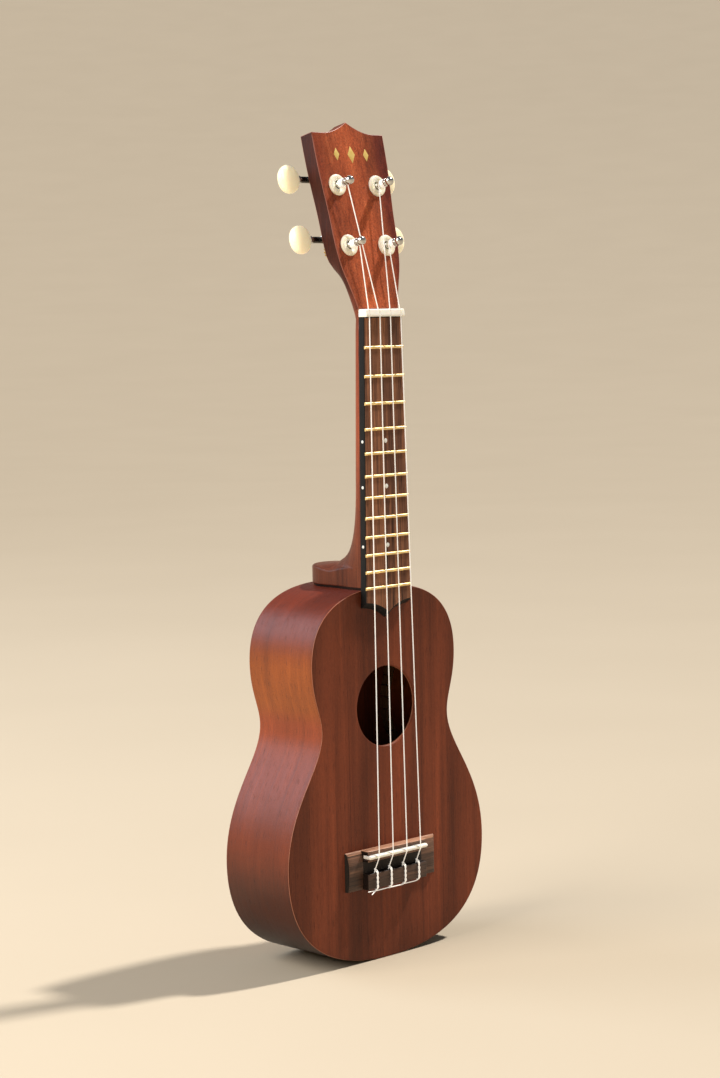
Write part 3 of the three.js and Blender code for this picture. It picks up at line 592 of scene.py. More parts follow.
def side_grain(shape):
    """Grain coordinates that follow the bend: across the side, into it, and along it from the tail."""
    grain = []
    for p in shape.points:
        k = int(np.argmin((HALF[:, 0] - abs(p.x)) ** 2 + (HALF[:, 1] - p.z) ** 2))
        grain.append(((math.copysign(300, p.x) + p.y) / 1000, 0, ARC[k] / 1000))
    shape.grain["grain"] = grain
    return shape


# Rim strip groups: in rounded, 1 is a thin strip on the rounded outer edge and 2 is side wood; in sawn, 1 is the
# sound hole's wall. Group 1 gets the paler edge wood, partly a painted edge highlight.
rounded = (0, 0, 0, 1, 2, 2, 2, 2, 2, 0, 0)
sawn = (0, 0, 0, 0, 0, 1, 0, 0, 0, 0, 0)
plate = Shape().slab([OUTLINE, hole], rim(0, PLATE, 0.9, 0.1), upright, (0, (rounded, sawn), 0))
side_grain(plate).make("top_plate", BODY, [mahogany_top, mahogany_cut_edge_highlight, mahogany_side],
                       stands_for="soundboard", slot="body_mahogany")
plate = Shape().slab([OUTLINE], rim(DEPTH_OF_BODY - PLATE, DEPTH_OF_BODY, 0.1, 0.9), upright,
                     (0, (rounded[::-1],), 0))
side_grain(plate).make("back_plate", BODY, [mahogany_back, mahogany_cut_edge_highlight, mahogany_side],
                       stands_for="back", slot="body_mahogany")


def bent_side(side):
    """A side bent along one half of the outline, with grain coordinates that follow the bend."""
    front, back = PLATE, DEPTH_OF_BODY - PLATE
    rings, grain = [], []
    for p, n, s in zip(HALF, OUT, ARC):
        ring = []
        for inward, y in ((0, front), (0, back), (SIDE, back), (SIDE, front)):
            x, z = p - n * inward
            ring.append((side * max(x, MIDDLE_GAP), y, z))
            grain.append(((side * 300 + y) / 1000, inward / 1000, s / 1000))
        rings.append(ring)
    shape = Shape().skin(rings)
    shape.grain["grain"] = grain
    return shape


for label, side in (("bass", -1), ("treble", 1)):
    bent_side(side).make(f"rim_{label}", BODY, mahogany_side, stands_for=f"side_{label}", slot="body_mahogany")


def at_arc(s, depth):
    """The point at a distance along the half outline, moved inwards."""
    x = np.interp(s, ARC, HALF[:, 0]) - np.interp(s, ARC, OUT[:, 0]) * depth
    z = np.interp(s, ARC, HALF[:, 1]) - np.interp(s, ARC, OUT[:, 1]) * depth
    return (x, z)


def kerfed_lining(side, front, back):
    """A glued strip with a 1 mm saw cut every 7 mm on its inner side."""
    start, end = 22, ARC[-1] - 28
    inner, s = [], start
    while s < end:
        block = min(s + 6, end)
        inner += [at_arc(v, 6.5) for v in np.linspace(s, block, 3)]
        if block < end:
            inner += [at_arc(block, 3), at_arc(min(block + 1, end), 3)]
        s = block + 1
    outer = [at_arc(v, 2.05) for v in np.linspace(start, end, 90)]
    loop = [(side * x, z) for x, z in outer + inner[::-1]]
    return Shape().slab([loop if side > 0 else loop[::-1]], [(0, front), (0, back)], upright)


for edge, front in (("front", PLATE), ("back", DEPTH_OF_BODY - PLATE - LINING)):
    for label, side in (("bass", -1), ("treble", 1)):
        kerfed_lining(side, front, front + LINING).make(
            f"kerfed_{edge}_{label}", BODY, inner_wood, stands_for=f"lining_{edge}_{label}",
            slot="inner_wood", sharp=20)

for node in ("neck_block", "tail_block", "soundboard_brace_upper", "soundboard_brace_lower",
             "back_brace_upper", "back_brace_lower", "bridge_plate"):
    kept = frame["nodes"][node]
    kept.data.materials.clear()
    kept.data.materials.append(inner_wood)
    soften(kept, 0.6)

# ---------------------------------------------------------------- neck and headstock

HEEL_START = 258  # the lowest ring that is only heel
HEEL_TOP, HEEL_FOOT, HEEL_REACH, HEEL_POWER = 312, 254.6, 33, 2.5
FOOT_HALF, FOOT_FLAT = 20, 37.5  # the foot is straight for this depth, and a half circle behind it
ACROSS, AROUND = 32, 64  # steps across the front of each neck ring, and round its back


def lerp(a, b, t):
    return a + (b - a) * t


def clamp(value, low=0.0, high=1.0):
    return min(max(value, low), high)


def smoothstep(t):
    t = clamp(t)
    return t * t * (3 - 2 * t)


def spline(table, at):
    """A smooth curve through (value, position) pairs."""
    values, places = [v for v, _ in table], [p for _, p in table]
    i = clamp(int(np.searchsorted(places, at)) - 1, 0, len(places) - 2)
    t = clamp((at - places[i]) / (places[i + 1] - places[i]))
    a, b, c, d = (values[clamp(k, 0, len(values) - 1)] for k in (i - 1, i, i + 1, i + 2))
    return 0.5 * (2 * b + (c - a) * t + (2 * a - 5 * b + 4 * c - d) * t ** 2
                  + (3 * b - a - 3 * c + d) * t ** 3)


def shaft_half(z):
    return lerp(NUT_HALF, JOIN_HALF, (NUT - z) / (SCALE / 2))


def shaft_depth(z):
    """How far the neck reaches behind the fretboard, swelling into the heel."""
    base = lerp(10.3, 12.8, clamp((NUT - z) / (NUT - HEEL_TOP)))
    down = clamp((HEEL_TOP - z) / (HEEL_TOP - HEEL_FOOT))
    return base + HEEL_REACH * (1 - (1 - down ** HEEL_POWER) ** (1 / HEEL_POWER))


def neck_ring(half, front, straight, depth, square):
    """A ring in x and depth: level across the front, then round the back from a half ellipse to a square."""
    ring = [(lerp(-half, half, j / ACROSS), front) for j in range(ACROSS + 1)]
    for i in range(AROUND + 1):
        s = i / AROUND
        x = lerp(math.cos(math.pi * s), clamp(2 - 4 * s, -1, 1), square)
        d = lerp(math.sin(math.pi * s), min(1, 2 - abs(2 - 4 * s)), square)
        ring.append((half * x, straight + (depth - straight) * d))
    return ring


def crest(x):
    """How far up the headstock its top edge is."""
    x = abs(x)
    if x >= CREST_SHOULDER:
        return CREST_U
    t = (math.sqrt(400 + 8 * (CREST_SHOULDER - x)) - 20) / 4
    return CREST_U + CREST_TIP * t * t


def foot_ring(pull):
    """The foot's outline as a ring that matches neck_ring point for point, pulled in from the edge."""
    ring = [(lerp(pull - FOOT_HALF, FOOT_HALF - pull, j / ACROSS), 0) for j in range(ACROSS + 1)]
    length = 2 * FOOT_FLAT + FOOT_HALF * math.pi
    for i in range(AROUND + 1):
        along = length * i / AROUND
        a = clamp((along - FOOT_FLAT) / FOOT_HALF, 0, math.pi)
        y = FOOT_FLAT + FOOT_HALF * math.sin(a) if 0 < a < math.pi else min(along, length - along)
        step = pull * smoothstep((y - 10) / 14)
        depth = min(y, FOOT_FLAT) + max(y - FOOT_FLAT, 0) * (1 - step / FOOT_HALF)
        ring.append(((FOOT_HALF - step) * math.cos(a), depth))
    return ring


def foot_rings():
    """From the seam on the sound box up the foot, over its edge and smoothly into the heel."""
    seam = [(1.0, 240.5), (0.85, 242.2), (0.55, 242.7), (0.2, 243.0), (0, 243.5), (0, 247)]
    edge = [(1.5 * (1 - math.cos(a)), 253.4 + 1.5 * math.sin(a)) for a in np.linspace(0, math.pi / 2, 6)]
    rings = [[(x, d, z) for x, d in foot_ring(pull)] for pull, z in (*seam, (0, 250.5), *edge)]
    flat, heel = foot_ring(1.5), heel_ring(HEEL_START)
    for t in np.linspace(0, 1, 13)[1:-1]:
        z = lerp(254.9, HEEL_START, t ** 2.6)
        rings.append([(lerp(a, c, t), lerp(b, d, t), z) for (a, b), (c, d) in zip(flat, heel)])
    for ring in rings[len(seam):]:
        for k, (x, y, z) in enumerate(ring):
            low = 2.3 * math.exp(-((y - 31) / 9) ** 2) + 0.5 * smoothstep((y - 40) / 10)
            ring[k] = (x, y, z - low * min(1, (x / 19) ** 2) * clamp((z - 248) / 5))
    return rings


def heel_ring(z):
    swell = 5 * clamp((266 - z) / 11) ** 2
    return neck_ring(shaft_half(z), 0, 0.2, shaft_depth(z) + swell, 0)


def make_neck():
    rings = foot_rings()
    for z in (*np.linspace(HEEL_START, HEEL_TOP, 24), *np.linspace(324, NUT - 8, 9)):
        rings.append([(x, d, z) for x, d in heel_ring(z)])
    raised_ring = len(rings) + 3
    step = 5.15  # where the headstock's face starts, in front of the nut's seat
    stations = [(0, 0), (2.6, 0), (step, 0), (step, 1), *[(u, 1) for u in (7, 10, 14, 18, 22, 26, 30, 34, 38,
                42, 48, 54, 61, 68, 76, 84, 92, 99, 105)]]
    for u, raised in stations:
        depth = lerp(12.3, HEAD_THICKNESS, clamp(u / 20))
        front = 0 if raised else (2 - u * UP.y) / DEPTH.y
        flat = neck_ring(spline(HEAD_SIDE, u), front, 2, depth, smoothstep((u - 20) / 22))
        rings.append([tuple(on_head(x, d, u)) for x, d in flat])
    last_level = stations[-1][0]
    for t in (0.3, 0.6, 0.85, 0.97, 1.0):
        flat = neck_ring(spline(HEAD_SIDE, lerp(last_level, CREST_U, t)), 0, 2, HEAD_THICKNESS, 1)
        rings.append([tuple(on_head(x, d, lerp(last_level, crest(x), t))) for x, d in flat])
    shape = Shape().skin(rings, caps=False)
    shape.groups = []
    for r in range(len(rings) - 1):
        on_face, elsewhere = (1, 3) if r >= raised_ring else (0, 0)
        shape.groups += [on_face if i < ACROSS else elsewhere for i in range(len(rings[0]))]
    count, last = len(rings[0]), (len(rings) - 1) * len(rings[0])
    behind = ACROSS + 1
    quarter = AROUND // 4
    faces = [tuple(range(count))[::-1]]
    for j in range(1, ACROSS - 1):
        k = behind + 3 * quarter - j
        faces.append(tuple(last + i for i in (j, j + 1, k - 1, k)))
    left = [0, 1, behind + 3 * quarter - 1, *range(behind + 3 * quarter, behind + AROUND + 1)]
    right = [ACROSS - 1, ACROSS, *range(behind, behind + quarter + 2)]
    faces += [tuple(last + i for i in left), tuple(last + i for i in right)]
    shape.faces += faces
    shape.groups += [0] * len(faces)
    finishes = [mahogany_neck, mahogany_face, mahogany_painted_bevel_highlight, mahogany_dark, seam_painted_shade]
    piece = shape.make("neck_wood", BODY, finishes, stands_for="neck", slot="neck_mahogany", sharp=42)
    # The groove's faces below the foot get the near-black wood as painted shade.
    for face in piece.data.polygons:
        if face.center.z < 0.2425:  # the seam
            face.material_index = 4
    for n in TUNERS:
        bore(piece, Shape().lathe([(3.6, -3), (3.6, 16)], upright, 28), TUNER[n], 42)
    weigh(piece, 48, 0.262)
    # The bevel faces get the paler wood as a painted edge highlight.
    soften(piece, 0.45, clamp=False, edge_highlight_slot=2, marked=True)


make_neck()

# ---------------------------------------------------------------- fretboard, frets, nut and dots

CORNER = shaft_half(232.7)
tip = [(CORNER * (1 - t) ** 2 + 16 * t * (1 - t), 232.7 * (1 - t) ** 2 + 464 * t * (1 - t) + 225 * t * t)
       for t in np.linspace(0, 1, 14)]
board = [(-x, z) for x, z in tip] + tip[-2::-1] + [(NUT_HALF, NUT - 0.1), (-NUT_HALF, NUT - 0.1)]
fingerboard = Shape().slab([board], rim(BOARD_FRONT, -0.02, 0.3, 0.05, 3), upright, (0, 1, 1))
for p in fingerboard.points:
    p.z -= 3 * (p.y - BOARD_FRONT) / 4.45 * clamp((300 - p.z) / 50)
fingerboard.make("fingerboard", BODY, [board_wood, black_paint], stands_for="fretboard", slot="fretboard_wood")


def fret_z(number):
    return NUT - SCALE * (1 - 2 ** (-number / 12))


crown = [(-0.05, -1), *[(math.sin(a), -math.cos(a)) for a in np.linspace(0.12, math.pi - 0.12, 12)], (-0.05, 1)]
for number in range(1, FRETS + 1):
    z = fret_z(number)
    half = shaft_half(z) - 0.1
    ends = ((-half, 0.42), (-half + 0.12, 0.36), (half - 0.12, -0.36), (half, -0.42))
    rings = [[(x + slope * h, BOARD_FRONT - h, z + w) for h, w in crown] for x, slope in ends]
    Shape().skin(rings).make(
        f"fret_wire_{number:02d}", BODY, fret_brass, stands_for=f"fret_{number:02d}", slot="fret_wire")

for k, fret in enumerate((5, 7, 10), 1):
    z = (fret_z(fret) + fret_z(fret - 1)) / 2
    at_face = BODY @ Matrix.Translation((0, BOARD_FRONT, z))
    at_edge = BODY @ Matrix.Translation((-shaft_half(z), -2.4, z)) @ Matrix.Scale(-1, 4, RIGHT)
    Shape().lathe([(0, 0.4), (1.45, 0.4), (1.5, 0), (1.45, -0.03), (0, -0.03)], upright, 28).make(
        f"face_dot_{k}", at_face, dot_white, slot="white_plastic")
    Shape().lathe([(0, -0.5), (0.95, -0.5), (1, 0), (0.95, 0.03), (0, 0.03)], sideways, 24).make(
        f"side_dot_{k}", at_edge, dot_white, slot="white_plastic")

HANG = {"1": 7.4, "2": 7.0, "3": 5.0, "4": 5.0}  # how far in front of the headstock each string leaves


def string_x(index, spread):
    return spread * (2 * index / 3 - 1)


def string_top(n):
    """Where a string leaves its post, and where it meets the nut."""
    off = 1.9 + 0.3 + STRING
    leave = BODY.inverted() @ TUNER[n] @ Vector((-off, -HANG[n], 0))
    return leave, Vector((string_x(TUNERS.index(n), NUT_SPREAD), -6.65, NUT))


NOTCH = 0.43


def make_nut():
    """A bone-white bar that falls away to the headstock, with a round-bottomed notch for each string."""
    half = NUT_HALF + 0.1
    lines = [string_top(n) for n in TUNERS]
    profile = [(0, 0.05), (0, 6.9), (0.15, 7.25), (0.5, 7.4), (1.6, 7.25), (2.7, 7.05), (3.8, 6.8), (4.5, 6.6),
               (4.8, 6.35), (4.9, 6.0), (4.9, 0.05)]
    near = np.concatenate([[-0.44], np.linspace(-0.42, 0.42, 15), [0.44]])
    xs = [(-half, None), (-half + 0.08, None), (-half + 0.3, None)]
    for k, (leave, meet) in enumerate(lines):
        xs += [(meet.x + d, k) for d in (-0.9, *near, 0.9)]
        if k < 3:
            xs.append(((meet.x + lines[k + 1][1].x) / 2, None))
    xs += [(half - 0.3, None), (half - 0.08, None), (half, None)]
    rings = []
    for x, k in xs:
        end = clamp((half - abs(x)) / 0.3)
        drop = 0.25 * (1 - math.sqrt(1 - (1 - end) ** 2))
        ring = []
        for dz, h in profile:
            px = x
            if k is not None:
                leave, meet = lines[k]
                run = dz / (leave.z - meet.z)
                middle = lerp(meet.x, leave.x, run)
                height = -lerp(meet.y, leave.y, run)
                px = x + middle - meet.x
                off = abs(px - middle)
                if off < NOTCH and h > 3:
                    h = min(h, height - math.sqrt(NOTCH ** 2 - off ** 2))
            z = lerp(2.45, dz, 1 - 0.12 * drop) + NUT
            ring.append((px, -(h - (drop if h > 3 else 0)), z))
        rings.append(ring)
    Shape().skin(rings).make("top_nut", BODY, bone_white, stands_for="nut", slot="white_plastic", sharp=50)


make_nut()

# ---------------------------------------------------------------- bridge and saddle

BLOCK_HALF, BLOCK_HEIGHT, WING_END, HOLE_HEIGHT, SLOT_FLOOR = 26.7, 7.5, 40.3, 5.3, 3.4


def grain_along_x(shape):
    """Grain coordinates for wood whose grain runs across the instrument."""
    shape.grain["grain"] = [(p.z / 1000, p.y / 1000, p.x / 1000) for p in shape.points]
    return shape


def paint_bridge_highlight_and_shade(piece, channel=False):
    """Gives the faces that look up the neck the paler wood as a painted highlight, the end grain the darker wood,
    which also stands in for its shade, and the tie channel the darker wood as painted shade in the recess.
    """
    for face in piece.data.polygons:
        height = (FRONT - face.center.y) * 1000
        # Up-facing top faces: painted highlight. End faces: darker end grain with painted shade. Tie channel:
        # painted shade in the recess.
        if face.normal.z > 0.3 and face.center.z > 0.0715:
            face.material_index = 1
        elif abs(face.normal.x) > 0.6 or (channel and 0.059 < face.center.z < 0.0671 and height < 7.3):
            face.material_index = 2
    return piece


def make_bridge():
    top = BLOCK_HEIGHT
    block = [(0, 48.8), (top, 48.8), (top, 59.2), (3, 59.2), (3, 67), (top, 67), (top, 68.55),
             (SLOT_FLOOR, 68.55), (SLOT_FLOOR, 71.45), (top, 71.45), (top, 74), (0, 74)]
    reach = [0, 0.7, 0.7, 0.5, 0.5, 0.25, 0.25, 0, 0, 0.25, 0.5, 0]
    finishes = [bridge_wood, bridge_top_painted_highlight, bridge_end_grain_and_shade]
    shape = Shape().slab([fillet(block, reach)], rim(-BLOCK_HALF, BLOCK_HALF, 0.35), lengthwise)
    piece = grain_along_x(shape).make(
        "tie_bridge", BODY, finishes, stands_for="bridge", slot="bridge_wood", sharp=30)
    holes = Shape()
    for index in range(4):
        x = string_x(index, SADDLE_SPREAD)
        holes.skin([[(x + a, b - HOLE_HEIGHT, z) for a, b in circle(0.8, 20)] for z in (48, 62)])
    bore(piece, holes, BODY, 30)
    paint_bridge_highlight_and_shade(piece, True)
    rise = [(2.3, 48.8), (2.7, 53), (2.9, 60), (2.8, 66.5), (2.4, 70), (1.8, 72.6), (1, 74)]
    wing = fillet([(0, 48.8), *rise, (0, 74)], [0, 0.4, 1, 1, 1, 1, 1, 0.3, 0])
    for label, side in (("bass", -1), ("treble", 1)):
        rings = []
        for inward in (0, 0.12, 0.35, 4, 8, WING_END - BLOCK_HALF + 0.6):
            low = 0.35 * (1 - math.sqrt(1 - (1 - min(inward / 0.35, 1)) ** 2))
            rings.append([(side * (WING_END - inward - max(0, t - 1 - low)), -max(t - low, 0), z) for t, z in wing])
        paint_bridge_highlight_and_shade(grain_along_x(Shape().skin(rings[::side])).make(
            f"bridge_wing_{label}", BODY, finishes, slot="bridge_wood", sharp=30))


make_bridge()


def make_saddle():
    """A bar with a rounded crown and rounded ends."""
    half, thick, height = 26.6, 1.35, 9.6
    crown = [(math.cos(a), math.sin(a)) for a in np.linspace(0, math.pi, 13)]
    rings = []
    for x in sorted({-half, half, *[s * (half - d) for s in (-1, 1) for d in (0.05, 0.2, 0.45, 0.8, 1.2)],
                     *np.linspace(-25, 25, 14)}):
        end = clamp((half - abs(x)) / 1.2)
        width = thick * math.sqrt(max(1 - (1 - end) ** 2, 0.0025))
        top = height - thick - 0.7 * (1 - math.sqrt(1 - (1 - end) ** 2))
        over = [(x, -(top + thick * b), SADDLE_Z + width * a) for a, b in crown]
        rings.append([(x, -SLOT_FLOOR, SADDLE_Z + width), *over, (x, -SLOT_FLOOR, SADDLE_Z - width)])
    Shape().skin(rings).make("saddle_bar", BODY, bone_white, stands_for="saddle", slot="white_plastic")


make_saddle()

# ---------------------------------------------------------------- strings


def make_string(n):
    """A string from its post to its tie: over the nut and saddle, through the block and back over it."""
    index = TUNERS.index(n)
    leave, meet = string_top(n)
    x = string_x(index, SADDLE_SPREAD)
    hole = -HOLE_HEIGHT
    path = [leave, meet + (leave - meet).normalized() * 2, meet, Vector((x, -10.02, SADDLE_Z + 0.2)),
            Vector((x, -9.95, SADDLE_Z - 0.45)), Vector((x, hole - 0.3, 60.2)), Vector((x, hole, 58.6)),
            Vector((x, hole, 49.6)), Vector((x + 0.1, hole - 0.1, 48.2)), Vector((x + 0.3, hole - 1.9, 48.2)),
            Vector((x + 0.36, -8.1, 49.4))]
    path = fillet(path, [0, 0.5, 0.8, 0.8, 0.8, 1, 1, 1, 0.7, 0.8, 0], 5, closed=False)
    spread = STRING + 0.02
    centre = BLOCK_HEIGHT + STRING + spread
    out, home = [], []
    for t in np.linspace(0, 1, 40):
        a, z = 3 * math.pi * t, lerp(49.6, 58.2, t)
        out.append((x + spread * math.cos(a), -(centre + spread * math.sin(a)), z))
        home.append((x - spread * math.cos(a), -(centre - spread * math.sin(a)), z))
    loop = fillet([out[-1], (*out[-1][:2], 59), (x - 0.5, -7.8, 59.9), (x - 0.75, -6.3, 61.1), (x, -5.3, 61.7),
                   (x + 0.75, -6.4, 61), (x + 0.5, -7.9, 59.8), (*home[-1][:2], 59), home[-1]], 0.8, 5,
                  closed=False)
    low = (7.0, 6.6, 7.3, 6.6)[index]
    tail = [home[0], (home[0][0] - 0.1, -7.9, 48.8), (x - 1.0, -low, 47.6)]
    if index == 0:
        tail += [(x - 2.4, -low - 0.6, 47.3), (-24.4, -8.2, 45.9)]
    elif index == 1:
        tail += [(x - 3, -low, 47.5), (-19, -low, 47.4), (-26.6, -7.2, 47.9)]
    else:
        tail += [(x - 3, -low, 47.5), (string_x(index - 1, SADDLE_SPREAD) - 2.2, -low, 47.6)]
    tail = fillet(tail, 1.0, 5, closed=False)
    route = [path[0]]
    for p in path[1:-1] + out[1:-1] + loop[:-1] + home[-2::-1] + tail[1:]:
        if np.linalg.norm(np.array(p) - route[-1]) > 0.05:
            route.append(np.array(p))
    Shape().tube(route, STRING).make(
        f"gut_{n}", BODY, nylon, stands_for=f"string_{n}", slot="nylon_string", sharp=60)


for n in TUNERS:
    make_string(n)

# ---------------------------------------------------------------- tuners

WORM_DEPTH, WORM_UP = 16.6, 7.8
PLATE_SCREWS = (-5.2, 12)
TEETH = 14


def make_bushing(n):
    ring = [(3.25, 4.0), (2.65, 4.0), (2.65, -1.1), (2.9, -1.6), (3.6, -1.72), (4.4, -2.05), (5.2, -2.1),
            (6.1, -1.95), (6.65, -1.5), (6.9, -0.85), (6.9, -0.02), (3.25, -0.02)]
    Shape().lathe(fillet(ring, 0.25, 3), upright, 56, loop=True).make(
        f"bushing_ring_{n}", TUNER[n], cream_bushing, stands_for=f"bushing_{n}", slot="cream_plastic")


def make_post(n):
    ball = [(3 * math.sin(a), -12 - 3 * math.cos(a)) for a in np.linspace(0.03, math.pi - 0.6, 22)]
    stem = fillet([(1.7, -9.52), (2.5, -9.25), (2.5, -8.4), (1.9, -8.0), (1.9, -2.1), (2.2, -1.7), (2.2, 14.9),
                   (1.4, 14.9), (1.4, 18.1), (0, 18.1)], 0.15, 3, closed=False)
    Shape().lathe(ball + stem, upright, 48).make(
        f"post_turned_{n}", TUNER[n], chrome, body=f"post_{n}", stands_for=f"string_post_{n}",
        slot="tuner_chrome")
    end = 3.0 if SIDES[n] < 0 else 8.0
    turns = max(2, round(abs(end - HANG[n]) / 0.74))
    radius = 1.9 + STRING + 0.02
    path = []
    for t in np.linspace(0, 1, turns * 28):
        a = 2 * math.pi * turns * t
        path.append((-radius * math.cos(a), -lerp(HANG[n], end, t), radius * math.sin(a)))
    end = np.array(path[-1])
    path += [tuple(end * (0.8, 1, 0.8)), tuple(end * (0.3, 1, 0.3))]
    Shape().tube(path, STRING, 8).make(
        f"winding_{n}", TUNER[n], nylon, body=f"post_{n}", slot="nylon_string", sharp=60)


def box(wide, tall, up, near, far):
    """A block for cutting a screw's slot, from its half sizes, its middle and its two depths."""
    corners = [(-wide, up - tall), (wide, up - tall), (wide, up + tall), (-wide, up + tall)]
    return Shape().slab([corners], [(0, near), (0, far)], upright)


def make_gear(n):
    points = []
    for tooth in range(TEETH):
        for r, share in ((4.15, -0.34), (4.5, -0.27), (5.05, -0.13), (5.1, 0), (5.05, 0.13), (4.5, 0.27),
                         (4.15, 0.34)):
            a = 2 * math.pi * (tooth + share) / TEETH
            points.append((r * math.cos(a), r * math.sin(a)))
    hub = circle(1.5, 24, turn=-1)
    shape = Shape().slab([points, hub], rim(WORM_DEPTH - 1.5, WORM_DEPTH + 1.5, 0.2, 0.2, 2), upright)
    shape.make(f"gear_cut_{n}", TUNER[n], gear_brass, body=f"post_{n}", stands_for=f"post_gear_{n}",
               slot="gear_brass", sharp=30)
    head = [(0, 17.9), (2.2, 17.9), (2.35, 18.2), (2.2, 18.8), (1.6, 19.2), (0.8, 19.35), (0, 19.4)]
    screw = Shape().lathe(head, upright, 28).make(
        f"gear_screw_{n}", TUNER[n], chrome, body=f"post_{n}", slot="tuner_chrome")
    bore(screw, box(3, 0.3, 0, 18.85, 21), TUNER[n])


def make_plate(n):
    """A stamped plate with two ears that hold the worm shaft, and its two cross-head screws."""
    base = HEAD_THICKNESS + 0.05
    outline = fillet([(-6.6, -4.2), (-3.6, -7.5), (3.6, -7.5), (6.6, -4.2), (6.6, 11.8), (4.4, 14), (-4.4, 14),
                      (-6.6, 11.8)], 1.8, 5)
    shape = Shape().slab([outline, circle(2.6, 28, turn=-1)], rim(base, base + 0.8, 0.05, 0.25, 3), upright)
    ear = fillet([(5.2, base + 0.4), (10.6, base + 0.4), (10.6, 19.4), (5.2, 19.4)], [0, 0, 2.6, 2.6], 8)
    shaft = circle(1.75, 24, (WORM_UP, WORM_DEPTH), -1)
    for start in (-5.6, 4.6):
        shape.slab([ear, shaft], rim(start, start + 1, 0.2, 0.2, 2), lambda a, b, h: (h, b, a))
    shape.make(f"plate_stamped_{n}", TUNER[n], chrome, stands_for=f"tuner_plate_{n}", slot="tuner_chrome",
               sharp=30)
    head = [(0, base + 0.4), (1.75, base + 0.4), (1.85, base + 0.9), (1.65, base + 1.35), (1.1, base + 1.65),
            (0, base + 1.75)]
    screws = Shape()
    for up in PLATE_SCREWS:
        screws.lathe(head, lambda a, b, h: (a, h, b + up), 24)
    piece = screws.make(f"plate_screws_{n}", TUNER[n], chrome, slot="tuner_chrome")
    for up in PLATE_SCREWS:
        for wide, tall in ((1.15, 0.26), (0.26, 1.15)):
            bore(piece, box(wide, tall, up, base + 1.2, base + 3), TUNER[n])


def make_worm(n):
    """The shaft with its left-handed thread, from the inner bearing out into the button."""

    def across(a, b, h):
        return (h, a + WORM_DEPTH, b + WORM_UP)

    half, pitch = 4.2, 2.09
    rings = []
    for x in np.linspace(-half, half, 110):
        fade = clamp((half - abs(x)) / 0.5)
        ring = []
        for a in np.linspace(0, 2 * math.pi, 28, endpoint=False):
            wave = math.cos(SIDES[n] * a + 2 * math.pi * x / pitch)
            r = 1.6 + 0.62 * fade * clamp(0.5 + 1.1 * wave)
            ring.append(across(r * math.cos(a), r * math.sin(a), x))
        rings.append(ring)
    shape = Shape().skin(rings)
    for near, far in ((-6, -4.1), (4.1, 6)):
        shape.lathe([(1, near - 0.2), (1.5, near), (1.5, far)], across, 28)
    rod = fillet([(0, 5.9), (2.1, 5.9), (2.1, 15.6), (1.2, 16.0), (1.2, 25.5), (0, 25.5)], 0.25, 3, closed=False)
    shape.lathe(rod, across, 32, group=1)
    collar = fillet([(0, 15.5), (2.3, 15.5), (2.6, 15.9), (2.6, 17.4), (2.2, 17.75), (0, 17.75)], 0.2, 3,
                    closed=False)
    shape.lathe(collar, across, 36, group=2)
    shape.make(f"worm_threaded_{n}", TUNER[n], [chrome, dark_chrome, chrome], body=f"knob_{n}",
               stands_for=f"worm_shaft_{n}", slot="tuner_chrome")


def make_button(n):
    """A pebble, rounded rectangular in plan and oval in front view, so soft ridges run up its corners."""
    plan, tall = 2.9, 2.15
    rings = []
    for v in np.linspace(-math.pi / 2 + 0.02, math.pi / 2 - 0.02, 41):
        ring = []
        for a in np.linspace(0, 2 * math.pi, 64, endpoint=False):
            direction = (math.cos(v) * math.cos(a), math.cos(v) * math.sin(a), math.sin(v))
            flat = (abs(direction[0]) / 7) ** plan + (abs(direction[1]) / 5.2) ** plan
            size = (flat ** (tall / plan) + (abs(direction[2]) / 9.2) ** tall) ** (-1 / tall)
            x, d, u = (size * c for c in direction)
            ring.append((25 + x, WORM_DEPTH + d, WORM_UP + u))
        rings.append(ring)
    Shape().skin(rings).make(f"button_pebble_{n}", TUNER[n], cream_button, body=f"knob_{n}",
                             stands_for=f"button_{n}", slot="cream_plastic", sharp=60)


for n in TUNERS:
    for make in (make_bushing, make_post, make_gear, make_plate, make_worm, make_button):
        make(n)

for k, (x, wide, tall) in enumerate(((-13, 2.4, 4.2), (0, 3.2, 5.6), (13, 2.4, 4.2)), 1):
    diamond = [(x - wide, 106), (x, 106 - tall), (x + wide, 106), (x, 106 + tall)]
    Shape().slab([diamond], rim(-0.1, 0.1, 0.08, 0, 2)[1:-1], upright).make(
        f"lozenge_{k}", HEAD, gold_leaf, slot="fret_wire")

# ---------------------------------------------------------------- stage, light and camera

FLOOR_RISE = ((5, 0), (7, 0.05), (9, 0.19), (12, 0.6), (15, 1.25), (18, 2.1), (24, 4.2), (60, 17.3))  # metres


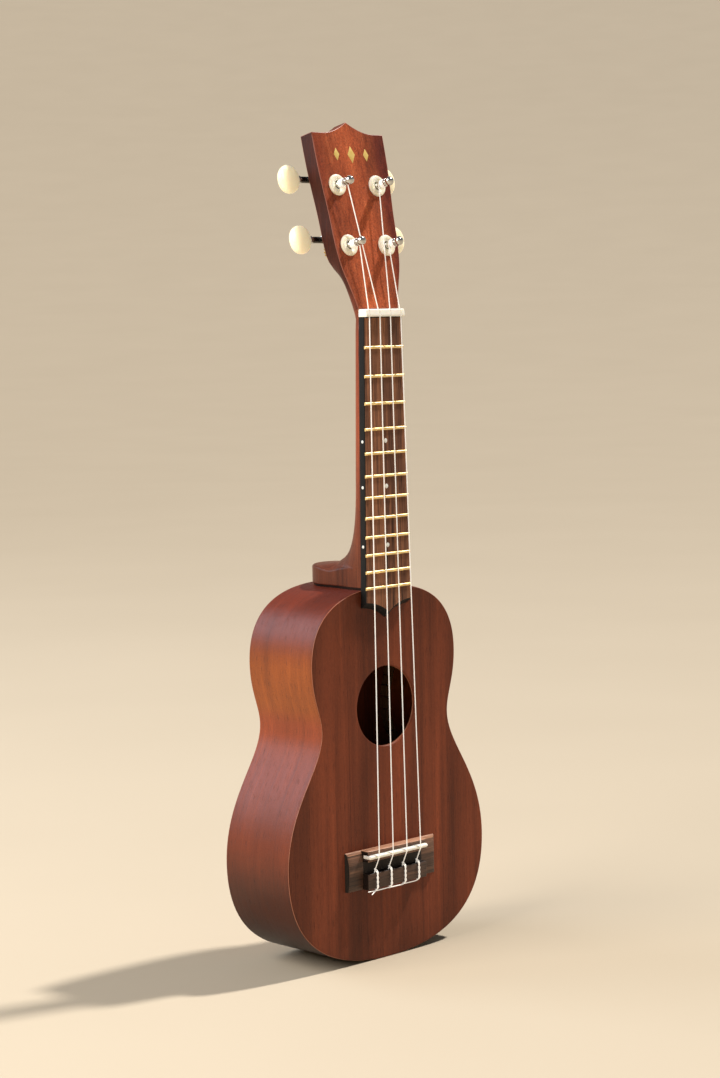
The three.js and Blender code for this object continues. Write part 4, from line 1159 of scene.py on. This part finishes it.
def make_floor():
    """A pale floor that rises gently all round, far from the object, and so has no horizon."""
    mesh = bpy.data.meshes.new("floor")
    rings = [[(x, y, height) for x, y in circle(radius, 96)] for radius, height in FLOOR_RISE]
    shape = Shape().skin(rings, caps=False)
    mesh.from_pydata(shape.points, [], [tuple(range(96))[::-1], *shape.faces])
    mesh.flip_normals()
    mesh.shade_smooth()
    floor = bpy.data.objects.new("floor", mesh)
    scene.collection.objects.link(floor)
    f = Finish("floor")
    soft = f.noise(f.place(), (3, 3, 3), 2.0)
    f.set(Base_Color=f.mix(soft, rgb(184, 170, 149), rgb(179, 165, 144)), Roughness=0.85)
    mesh.materials.append(f.material)


make_floor()


def lamp(name, towards, size, power, colour):
    """A soft square light, 2.4 m away in a direction from the middle of the instrument."""
    middle = Vector((0, 0, 0.27))
    light = bpy.data.lights.new(name, "AREA")
    light.size = size
    light.energy = power
    light.color = colour
    lit = bpy.data.objects.new(name, light)
    lit.location = middle + Vector(towards).normalized() * 2.4
    lit.rotation_euler = (middle - lit.location).to_track_quat("-Z", "Y").to_euler()
    lit.visible_camera = False
    scene.collection.objects.link(lit)


sun = bpy.data.lights.new("sun", "SUN")
sun.energy = 4.2
sun.angle = math.radians(4)
sun.color = (1.0, 0.965, 0.91)
sunlight = bpy.data.objects.new("sun", sun)
sunlight.rotation_euler = Vector((0.546, -0.177, 0.819)).to_track_quat("Z", "Y").to_euler()
scene.collection.objects.link(sunlight)
lamp("sky", (-0.45, 0.72, 0.5), 1.5, 27, (0.72, 0.84, 1.0))
lamp("fill", (-0.85, 0.1, 0.6), 1.6, 56, (1.0, 0.95, 0.88))

world = bpy.data.worlds.new("studio")
scene.world = world
world.use_nodes = True
world.node_tree.nodes["Background"].inputs[0].default_value = (0.86, 0.9, 0.95, 1)
world.node_tree.nodes["Background"].inputs[1].default_value = 0.2

camera = bpy.data.cameras.new("camera")
camera.lens = 82.2728
camera.sensor_width = 36
camera.clip_end = 200
view = bpy.data.objects.new("camera", camera)
view.location = (-1.107786, -1.143615, 0.414872)
view.rotation_euler = [math.radians(a) for a in (84.84574718, 1.26286924, -44.29223542)]
scene.collection.objects.link(view)
scene.camera = view
scene.view_settings.view_transform = "Standard"
